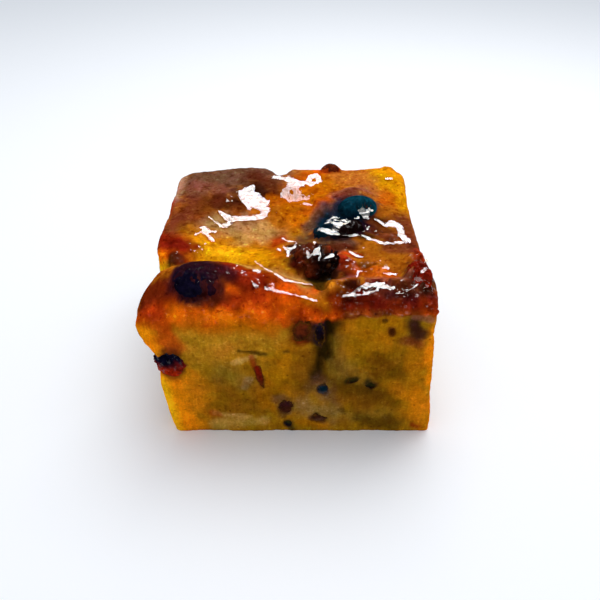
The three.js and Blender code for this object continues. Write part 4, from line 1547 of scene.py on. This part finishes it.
def opening_depth(opening: Opening, points: Array, px: Array, py: Array, on_top: Array) -> Array:
    """How deep an opening goes into the skin at each vertex, in mm.

    The opening is an ellipsoid. Seen along the face's normal it is an ellipse, and its far wall
    lies half-depth times the root of (1 - e^2) past its centre, where e is the elliptical
    distance from that centre.

    Args:
        opening: the ellipsoid and its face.
        points: the skin in mm.
        px, py: each vertex's place on the plan.
        on_top: which vertices belong to the top.

    Returns:
        The depth in mm, 0 outside the opening.
    """
    (cx, cy, cz), (hx, hy, hz) = opening.at, opening.half
    if opening.face is Face.TOP:
        on_face, u, v = on_top, points[:, 0] - cx, points[:, 1] - cy
        hu, hv, depth = hx, hy, hz
        out = cz - SHAPE.crust_height(np.array(cx), np.array(cy))
    else:
        sideways = opening.face.axis == 0
        on_face, along = face_mask(opening.face, px, py, points)
        u, v = along - (cy if sideways else cx), points[:, 2] - cz
        hu, hv, depth = (hy, hz, hx) if sideways else (hx, hz, hy)
        out = abs(cx) - SHAPE.width / 2 if sideways else abs(cy) - SHAPE.depth / 2
    turn = math.radians(opening.turn)
    u, v = u * math.cos(turn) - v * math.sin(turn), u * math.sin(turn) + v * math.cos(turn)
    e = np.clip(1 - (u / hu) ** 2 - (v / hv) ** 2, 0, 1)
    return np.where(on_face, np.maximum(depth * np.sqrt(e) - out, 0), 0) * smooth(e, 0, 0.12)


CUT_FRUIT = (  # what the knife cut, with the two tones of each
    ("raisin_cut_high", Tone.OXBLOOD, Tone.UMBER),
    ("raisin_seam", Tone.INK, Tone.CHAR),
    ("raisin_cut_right", Tone.MOSS, Tone.CHAR),
    ("raisin_cut_mid", Tone.MOSS, Tone.CHAR),
    ("raisin_cut_blue", Tone.TEAL, Tone.SLATE),
    ("raisin_cut_low", Tone.PLUM, Tone.UMBER),
    ("raisin_base", Tone.MOSS, Tone.INK),
    ("raisin_base_right", Tone.UMBER, Tone.COCOA),
    ("peel_strip", Tone.GARNET, Tone.OXBLOOD),
    ("raisin_left_back", Tone.PLUM, Tone.UMBER),
    ("raisin_right_front", Tone.OXBLOOD, Tone.PLUM),
    ("raisin_right_back", Tone.PLUM, Tone.UMBER),
    ("raisin_back_low", Tone.PLUM, Tone.UMBER),
    ("raisin_back_high", Tone.OXBLOOD, Tone.PLUM),
)


def all_fruit() -> list[Fruit]:
    """The raisins in the crust and in its left edge, and then the cut fruit.

    Returns:
        The fruit, placed but not built.
    """
    whole = [
        # the round raisin's darker second tone on its lower front side is painted shade
        Fruit(
            "raisin_round", Tone.LAGOON, Tone.TEAL, turn_to=(-0.3, -0.6, -0.6), wrinkle=0.02,
            cover=0.3, blend=1.0, juice=Tone.TEAL, juice_reach=1.25, gloss=0.02,
        ),
        Fruit(
            "raisin_broad", Tone.TEAL, Tone.CHAR, turn_to=(0.9, -0.8, 0.1),
            cover=0.6, patchy=0.5, juice=Tone.INK, juice_reach=1.35, gloss=0.5,
        ),
        Fruit(
            "raisin_burnt", Tone.CHAR, Tone.OXBLOOD, turn_to=(-1.2, 0.3, -0.4), wrinkle=0.22,
            cover=0.2, patchy=0.7, juice=Tone.CHAR, gloss=1.0,
        ),
        Fruit(
            "raisin_crown", Tone.INK, Tone.PLUM, turn_to=(0.8, 0.6, 0.1), wrinkle=0.04,
            cover=0.4, blend=1.6, patchy=0.8, juice=Tone.PLUM, juice_share=0.85, juice_reach=1.4,
            gloss=0.1,
        ),
        Fruit("raisin_corner", Tone.GARNET, Tone.BRICK, wrinkle=0.14, cover=0.0, gloss=0.3),
        Fruit(
            "raisin_back_edge", Tone.OXBLOOD, Tone.GARNET, cover=0.3, blend=1.2, juice=Tone.BRICK
        ),
        Fruit(
            "raisin_left", Tone.INK, Tone.BRICK, wrinkle=0.12,
            juice=Tone.OXBLOOD, juice_reach=1.2, gloss=0.7,
        ),
    ]
    cut = [Fruit(*row, wrinkle=0.16, gloss=0.05, cut=True) for row in CUT_FRUIT]
    return whole + cut


# ---- Syrup ----


@dataclass(frozen=True)
class Run:
    """A run of syrup: places in plan with a half width each, in mm, and how much of it is wet."""

    points: tuple[Triple, ...]
    wet: float = 1.0


RUNS = (
    # broad patch on the left, and the runs that lead away from it
    Run(((-12, 20.5, 0.9), (-13, 18, 1.5), (-12.5, 15, 2.1), (-10, 13.5, 2.2), (-8.5, 11.5, 1.3))),
    Run(((-15, 16.5, 0.8), (-13.5, 12, 1), (-12.5, 9.5, 0.7))),
    Run(((-8, 10.5, 1.0), (-8.5, 7.5, 0.9), (-11.5, 6, 0.8), (-16.5, 5, 0.7), (-20, 7.5, 0.4))),
    Run(((-16, 4.5, 0.6), (-17.5, 2.5, 0.7), (-19, 1.5, 0.6), (-20.5, 3, 0.3), (-23, 5.5, 0.3))),
    Run(((-20, 7, 0.3), (-18.5, 5, 0.3), (-17, 3.5, 0.4))),
    Run(((-23.5, 0, 0.6), (-22.5, -1, 0.8), (-20.5, -0.5, 0.4))),
    Run(((-23.5, -1.5, 0.5), (-22.5, -2.5, 0.5), (-20.5, -4.5, 0.4))),
    Run(((-25, -3.5, 0.3), (-24, -2, 0.3))),
    # broken patch at the back, half dried lower down
    Run(((-6, 24.5, 0.6), (-3.5, 24.5, 0.8), (-1, 23.5, 1), (1.5, 22, 1.1), (3.5, 23, 1.1))),
    Run(((3.5, 23, 1), (4.5, 25.5, 0.9), (6, 26.5, 0.9), (7, 23.5, 0.7), (5, 22, 0.6))),
    Run(((-1.5, 21, 0.8), (1, 21, 0.9)), 0.75),
    Run(((-2, 19, 0.9), (-3.5, 16, 1.1), (-1.5, 14, 0.8)), 0.5),
    Run(((0, 18, 0.8), (1, 16, 1.6), (-1, 15, 1.4), (3, 15, 0.8)), 0.35),
    Run(((2.5, 12, 0.5), (4.5, 11.5, 0.5)), 0.5),
    # on the round raisin and over the broad one
    Run(((18, 5.5, 1.0), (19, 4.5, 1.1), (19, 3, 0.5))),
    Run(((20, 6.5, 0.6), (20.5, 6, 0.5))),
    Run(((8.5, 1.5, 0.4), (10, 2.5, 0.7), (12, 1.5, 0.6), (14.5, 1, 0.6), (16.5, 3, 0.4))),
    Run(((8, -0.5, 0.3), (9.5, 0, 0.4), (11, -1, 0.5), (13, -0.5, 0.4), (15, 0.5, 0.3))),
    Run(((10, -1.5, 0.2), (11.5, -2, 0.4), (14, -2, 0.2))),
    Run(((6.5, -3, 0.3), (7.5, -3.5, 0.7), (9, -3.5, 0.5), (11, -3.5, 0.2))),
    Run(((6, -3.5, 0.2), (8, -4, 0.6), (9.5, -5, 0.4), (12, -5, 0.3), (14.5, -5, 0.4), (16, -4.5, 0.3))),
    # loop to the right of them
    Run(((21, 3.5, 0.2), (22.5, 2, 0.4), (23.5, 0.5, 0.5), (25, 1.5, 0.9), (26.5, 0.5, 0.9))),
    Run(((26.5, 0.5, 0.9), (27, -2.5, 0.9), (27.5, -5.5, 1), (28.5, -7, 0.5))),
    Run(((27.5, -7.5, 0.5), (22.5, -8, 0.4), (19, -6, 0.4), (17, -4.5, 0.2))),
    # on the burnt raisin and round it
    Run(((5.5, -14.5, 0.7), (4.5, -16, 0.4), (6, -16, 0.5), (7.5, -17, 0.5), (9, -16, 0.5))),
    Run(((3, -15.5, 0.3), (3.5, -17, 0.6)), 0.6),
    Run(((5, -6.5, 0.4), (5.5, -8, 0.3))),
    Run(((13.5, -11, 0.2), (14.5, -12, 0.4), (15.5, -13, 0.4), (16.5, -13, 0.2))),
    # in the middle
    Run(((-2.5, -8.5, 0.3), (-1.5, -9.5, 0.6), (0, -8.5, 0.4), (0.5, -6.5, 0.2))),
    Run(((-1.5, -10, 0.4), (-1.5, -12.5, 0.3))),
    Run(((-3, -1.5, 0.2), (-1.5, -3, 0.2), (0.5, -3, 0.2))),
    Run(((-4, -9.5, 0.4), (-3.5, -10, 0.4))),
    # along the groove and the crown's edge
    Run(((-9.5, -14, 0.2), (-7, -16.5, 0.3), (-5.5, -17.5, 0.3))),
    Run(((-4, -22, 0.3), (-2, -24, 0.3), (2, -24.5, 0.2), (4.5, -24.5, 0.2))),
    Run(((-9, -22.5, 0.3), (-8, -22.5, 0.4))),
    Run(((-6, -28, 0.3), (-1, -28.5, 0.3), (2, -29, 0.3), (5, -30, 0.2))),
    Run(((-4.5, -26, 0.2), (-4.5, -27, 0.3))),
    Run(((-9, -27.5, 0.2), (-8, -28, 0.4))),
    # over the front right ridge and the lumps on the right edge
    Run(((14.5, -21.5, 0.3), (15, -19.5, 0.3), (17, -19.5, 0.2))),
    Run(((21, -18, 0.4), (22, -18, 0.4))),
    Run(((20.5, -20, 0.2), (22, -20.5, 0.5), (23.5, -20.5, 0.3))),
    Run(((22, -22, 0.3), (20, -26, 0.2), (18.5, -25.5, 0.2))),
    Run(((10.5, -30.5, 0.2), (13, -29.5, 0.6), (14, -28, 0.4), (16.5, -26.5, 0.6), (19, -27, 0.6))),
    Run(((13, -30, 0.4), (16, -29.5, 0.3), (18, -28.5, 0.4), (19, -27, 0.5), (22, -27.5, 0.3))),
    Run(((22.5, -29.5, 0.2), (24, -29.5, 0.2), (26, -28, 0.2), (27.5, -26.5, 0.2))),
    Run(((27, -25, 0.2), (28, -25, 0.5), (30, -26, 0.2))),
    Run(((29.5, -27, 0.2), (30.5, -27, 0.3), (30.5, -28, 0.2))),
    Run(((30.5, -17, 0.4), (31.5, -15, 0.3)), 0.8),
    Run(((29, -23, 0.4), (30, -21.5, 0.2)), 0.8),
    Run(((26.5, 23.5, 0.5), (27.5, 23.5, 0.5)), 0.8),
)


@dataclass(frozen=True)
class Spray:
    """Drops of syrup strewn along a line in plan: how far to each side, how many, how large."""

    start: Point
    end: Point
    spread: float
    count: int
    largest: float = 0.42


SPRAYS = (
    Spray((-14, -24), (-3, -27), 2.4, 26),  # crown
    Spray((-27, -28), (-17, -29), 1.8, 8, 0.3),
    Spray((3, -13), (8, -17.5), 3.0, 30),  # burnt raisin and lumps
    Spray((9, -15), (15, -18), 2.0, 14),
    Spray((9, -29), (30, -27.5), 2.2, 44, 0.36),  # front right ridge
    Spray((29, -24), (30.5, -13), 1.4, 18, 0.36),
    Spray((-29, -12), (-22, -6), 2.6, 12),  # left groove
    Spray((-22, 10), (-14, 19), 2.4, 16),  # beside the broad patch
    Spray((-6, 8), (8, 20), 5.0, 14, 0.32),
    Spray((18, 0), (24, -4), 2.2, 14, 0.36),
    Spray((12, -8), (26, -15), 3.0, 14, 0.3),
    Spray((-4, -4), (2, -12), 3.0, 10, 0.3),
)


@dataclass
class SyrupFilm:
    """The glaze: a thin sheet over the wet runs, level enough to mirror the light behind it."""

    cell: float = 0.13  # spacing of its grid, in mm
    thickness: float = 0.15
    ripple: float = 0.03  # unevenness of its surface
    sink: float = 0.25  # how deep its rim dips into what it covers
    climb: float = 0.8  # height over which it climbs a raisin's flank
    reach: float = 8.0  # how far it keeps a tilt before it comes back to the ground
    most: float = 2.4  # the most that it rises or sinks
    slack: float = 0.03  # how little its slope counts outside the runs
    even: float = 0.3  # the even weight with which each step of the levelling is steered
    rounds: int = 20  # steps of the levelling
    seed: int = 7
    across: float = 0.7  # how much distances from front to back count, so runs are wider that way
    left_front: Point = (-36.0, -33.0)  # the corner of its grid, in mm
    size: Point = (70.0, 66.0)  # the grid's width and depth
    finish: AmberSyrup = field(default_factory=AmberSyrup)

    def prepare(self, fruit: list[Fruit]) -> None:
        """Works out the film's height on its grid.

        Its height is that of what it covers, plus, inside a run, its levelling and its thickness.
        Outside, its rim sinks below what it covers.

        Args:
            fruit: the raisins that stand in the crust.
        """
        xs = self.left_front[0] + np.arange(0, self.size[0], self.cell)
        ys = self.left_front[1] + np.arange(0, self.size[1], self.cell)
        self.x, self.y = np.meshgrid(xs, ys)
        self.ground = SHAPE.crust_height(self.x, self.y)
        for one in fruit:
            if not one.cut:
                self.ground = smooth_max(self.ground, one.dome(self.x, self.y), self.climb)
        outside, wet = self.outside_runs(self.x, self.y)
        self.run = 1 - smooth(outside, 0.0, 0.16)  # 1 inside a run, 0 past its rim
        self.sheet = wet * (1 - smooth(outside, -0.3, 0.14))  # how much syrup shows
        self.near = 1 - smooth(outside, 0.05, 0.35)  # 1 in a run and right beside it
        ripple = noise(self.x / 0.8, self.y / 1.3, 23.0) + 0.3 * noise(self.x / 0.4, self.y / 0.6, 27.0)
        ripple = self.ripple * ripple
        rise = self.level() + self.thickness + ripple
        self.height = self.ground - self.sink + (rise + self.sink) * self.run
        self.ceiling = np.where(self.near > 0.02, self.ground + rise - 0.1, np.inf)

    def outside_runs(self, x: Array, y: Array) -> tuple[Array, Array]:
        """Distance outside the nearest run or drop, and how wet that one is.

        Inside a run the distance is less than 0. It is that from the run's line less the half
        width there, made uneven and ragged by noise.

        Args:
            x, y: plan coordinates in mm.

        Returns:
            Distances in mm, and shares from 0 to 1.
        """
        ragged = 0.14 * noise(x / 0.7, y / 0.9, 4.0) + 0.08 * noise(x / 0.35, y / 0.45, 11.0)
        uneven = 1.05 + 0.4 * noise(x / 1.5, y / 2.0, 29.0) + 0.35 * noise(x / 0.6, y / 0.8, 33.0)
        nearest, wet = np.full(x.shape, FAR), np.ones(x.shape)
        for run in RUNS:
            for (ax, ay, ah), (bx, by, bh) in zip(run.points[:-1], run.points[1:]):
                dx, dy = bx - ax, (by - ay) * self.across
                px, py = x - ax, (y - ay) * self.across
                t = np.clip((px * dx + py * dy) / (dx * dx + dy * dy or 1), 0, 1)
                d = np.hypot(px - t * dx, py - t * dy) - (ah + (bh - ah) * t) * uneven - 0.03
                wet = np.where(d < nearest, run.wet, wet)
                nearest = np.minimum(nearest, d)
        drops = self.outside_drops(x, y)
        nearest = nearest + ragged
        return np.minimum(nearest, drops), np.where(drops < nearest, 1.0, wet)

    def outside_drops(self, x: Array, y: Array) -> Array:
        """Distance outside the nearest drop of the sprays, less than 0 inside one.

        Args:
            x, y: plan coordinates in mm.

        Returns:
            Distances in mm.
        """
        rng = np.random.default_rng(self.seed)
        nearest = np.full(x.shape, FAR)
        for spray in SPRAYS:
            along, side = rng.random(spray.count), rng.normal(0, 0.5, spray.count)
            size = spray.largest * (0.35 + 0.65 * rng.random(spray.count) ** 2)
            (ax, ay), (bx, by) = spray.start, spray.end
            span = math.hypot(bx - ax, by - ay)
            at_x = ax + (bx - ax) * along - (by - ay) / span * side * spray.spread
            at_y = ay + (by - ay) * along + (bx - ax) / span * side * spray.spread
            for drop in zip(at_x, at_y, size):
                nearest = np.minimum(nearest, np.hypot(x - drop[0], y - drop[1]) - drop[2])
        return nearest

    def wanted_change(self) -> tuple[Array, Array]:
        """How much the ground's slopes in x and in y must change for the film to mirror the light.

        The normal that mirrors the light into the eye halves the angle between the two.

        Returns:
            The changes of slope in x and in y, over the grid.
        """
        eye = np.stack([c - g for c, g in zip(EYE_MM, (self.x, self.y, self.ground))], -1)
        eye /= np.linalg.norm(eye, axis=-1, keepdims=True)
        normal = eye + way_to(CARD_WAY)
        slope_y, slope_x = np.gradient(self.ground, self.cell)
        return -normal[..., 0] / normal[..., 2] - slope_x, -normal[..., 1] / normal[..., 2] - slope_y

    def level(self) -> Array:
        """The film's height over the ground that turns it, inside the runs, to the mirror's tilt.

        It solves h / reach^2 - divergence(w * gradient h) = -divergence(w * wanted change), with
        the weight w near 1 inside the runs and small outside, by conjugate gradients. A Fourier
        transform solves the same with an even weight and steers each step.

        Returns:
            Heights in mm.
        """
        weight = self.near + self.slack
        pull_x, pull_y = (self.near * change for change in self.wanted_change())
        waves = [2 - 2 * np.cos(2 * math.pi * np.fft.fftfreq(n)) for n in self.x.shape]
        both = waves[0][:, None] + waves[1][None, :]
        stiffness = 1 / self.reach**2 + self.even * both / self.cell**2

        def fall(in_x: Array, in_y: Array) -> Array:
            """Minus the divergence of a field on the grid."""
            return (np.roll(in_x, 1, 1) - in_x + np.roll(in_y, 1, 0) - in_y) / self.cell

        def pushed(h: Array) -> Array:
            """The left side of the equation for a height h."""
            climb_x, climb_y = ((np.roll(h, -1, axis) - h) / self.cell for axis in (1, 0))
            return fall(weight * climb_x, weight * climb_y) + h / self.reach**2

        height = np.zeros(self.x.shape)
        rest = fall(pull_x, pull_y)
        steered = np.real(np.fft.ifft2(np.fft.fft2(rest) / stiffness))
        way, size = steered, (rest * steered).sum()
        for _ in range(self.rounds):
            push = pushed(way)
            step = size / (way * push).sum()
            height = height + step * way
            rest = rest - step * push
            steered = np.real(np.fft.ifft2(np.fft.fft2(rest) / stiffness))
            way, size = steered + way * (rest * steered).sum() / size, (rest * steered).sum()
        return self.most * np.tanh(height / self.most)

    def sample(self, grid: Array, points: Array) -> Array:
        """Reads a grid at the cell nearest to each point's place in plan.

        Args:
            grid: values over the film's grid.
            points: places in mm, n by 3.

        Returns:
            The n values.
        """
        column = np.clip(((points[:, 0] - self.left_front[0]) / self.cell).round(), 0, grid.shape[1] - 1)
        row = np.clip(((points[:, 1] - self.left_front[1]) / self.cell).round(), 0, grid.shape[0] - 1)
        return grid[row.astype(int), column.astype(int)]

    def wetness(self, points: Array) -> Array:
        """1 under or right beside a run, 0 away from them."""
        return self.sample(self.near, points)

    def press_under(self, points: Array, extra: Array | float = 0.0) -> Array:
        """Lowers points that would stand through the film.

        Args:
            points: places in mm, n by 3.
            extra: how much further down they go, in mm.

        Returns:
            The lowered points.
        """
        lowered = points.copy()
        lowered[:, 2] = np.minimum(points[:, 2], self.sample(self.ceiling, points) - extra)
        return lowered

    def build(self) -> bpy.types.Object:
        """Builds the film's sheet from the cells of its grid that hold syrup.

        Returns:
            The finished piece.
        """
        keep = self.run > 0.01
        keep = keep[:-1, :-1] | keep[:-1, 1:] | keep[1:, 1:] | keep[1:, :-1]
        index = np.arange(self.x.size).reshape(self.x.shape)
        quads = np.stack([index[:-1, :-1], index[:-1, 1:], index[1:, 1:], index[1:, :-1]], -1)[keep]
        used, faces = np.unique(quads, return_inverse=True)
        points = np.stack([self.x, self.y, self.height], -1).reshape(-1, 3)[used]
        sheet = self.sheet.ravel()[used]
        piece = make_piece("syrup_glaze", points, faces.reshape(-1, 4), self.finish.build(), sheet=sheet)
        return piece


# ---- Floor, light and camera ----


@dataclass(frozen=True)
class Lamp:
    """A square soft light that faces the pudding's top."""

    name: str
    direction: Point  # degrees to the right of straight behind, and degrees up
    distance: float  # from the pudding's top, in metres
    size: float  # the square's side in metres
    power: float  # watts
    mirrors_only: bool = False  # True for a card that only glossy surfaces see

    def build(self) -> None:
        """Hangs the light."""
        way = Vector(way_to(self.direction))
        light = bpy.data.lights.new(self.name, "AREA")
        light.size = self.size
        light.energy = self.power
        lamp = bpy.data.objects.new(self.name, light)
        lamp.location = Vector((0, 0, SHAPE.height * MM)) + way * self.distance
        lamp.rotation_euler = (-way).to_track_quat("-Z", "Y").to_euler()
        bpy.context.scene.collection.objects.link(lamp)
        if self.mirrors_only:
            lamp.visible_diffuse = False
            lamp.visible_transmission = False
            lamp.visible_volume_scatter = False


@dataclass
class Studio:
    """A plain white table under soft light from behind, and the camera in front."""

    window: Lamp = Lamp("window_behind", (28, 68), 0.42, 0.34, 1.25)
    card: Lamp = Lamp("reflection_card", CARD_WAY, 0.5, 0.3, 3.6, mirrors_only=True)
    sky_colour: str = "#f0f6ff"
    sky_strength: float = 0.68
    table_half_m: float = 3.0
    table: MattWhiteTable = field(default_factory=MattWhiteTable)
    pitch_down: float = 38.1  # degrees
    lens_mm: float = 34.98
    sensor_mm: float = 36.0
    nearest_m: float = 0.005  # nothing closer to the lens is drawn

    def build(self) -> None:
        """Builds the floor, the sky, the lights and the camera."""
        self.floor()
        self.sky()
        self.window.build()
        self.card.build()
        self.camera()

    def floor(self) -> None:
        """A broad white tabletop, level with the pudding's underside."""
        mesh = bpy.data.meshes.new("tabletop")
        h = self.table_half_m
        mesh.from_pydata([(-h, -h, 0), (h, -h, 0), (h, h, 0), (-h, h, 0)], [], [(0, 1, 2, 3)])
        floor = bpy.data.objects.new("tabletop", mesh)
        bpy.context.scene.collection.objects.link(floor)
        mesh.materials.append(self.table.build())

    def sky(self) -> None:
        """Even light from all round, which doesn't show in mirrors: dark wet sugar stays dark."""
        world = bpy.data.worlds.new("soft room light")
        world.use_nodes = True
        background = world.node_tree.nodes["Background"]
        background.inputs["Color"].default_value = (*linear(self.sky_colour), 1)
        background.inputs["Strength"].default_value = self.sky_strength
        world.cycles_visibility.glossy = False
        bpy.context.scene.world = world

    def camera(self) -> None:
        """The camera: level, looking down from the front."""
        lens = bpy.data.cameras.new("camera")
        lens.lens = self.lens_mm
        lens.sensor_width = self.sensor_mm
        lens.clip_start = self.nearest_m
        camera = bpy.data.objects.new("camera", lens)
        camera.location = Vector(EYE_MM) * MM
        camera.rotation_euler = (math.radians(90 - self.pitch_down), 0, 0)
        bpy.context.scene.collection.objects.link(camera)
        bpy.context.scene.camera = camera
        bpy.context.scene.view_settings.view_transform = "Standard"


def main() -> None:
    """Builds the pudding, its fruit, its glaze and the studio, in that order."""
    logging.basicConfig(level=logging.INFO, format="%(name)s: %(message)s")
    fruit = all_fruit()
    film = SyrupFilm()
    film.prepare(fruit)
    skin = PlumpedFruitSkin().build()
    pieces = [PuddingBlock().build(fruit, film)]
    pieces += [one.build(skin, film) for one in fruit]
    pieces.append(film.build())
    for piece in pieces:
        LOG.info("%s: %d faces", piece.name, len(piece.data.polygons))
    Studio().build()


if __name__ == "__main__":
    main()
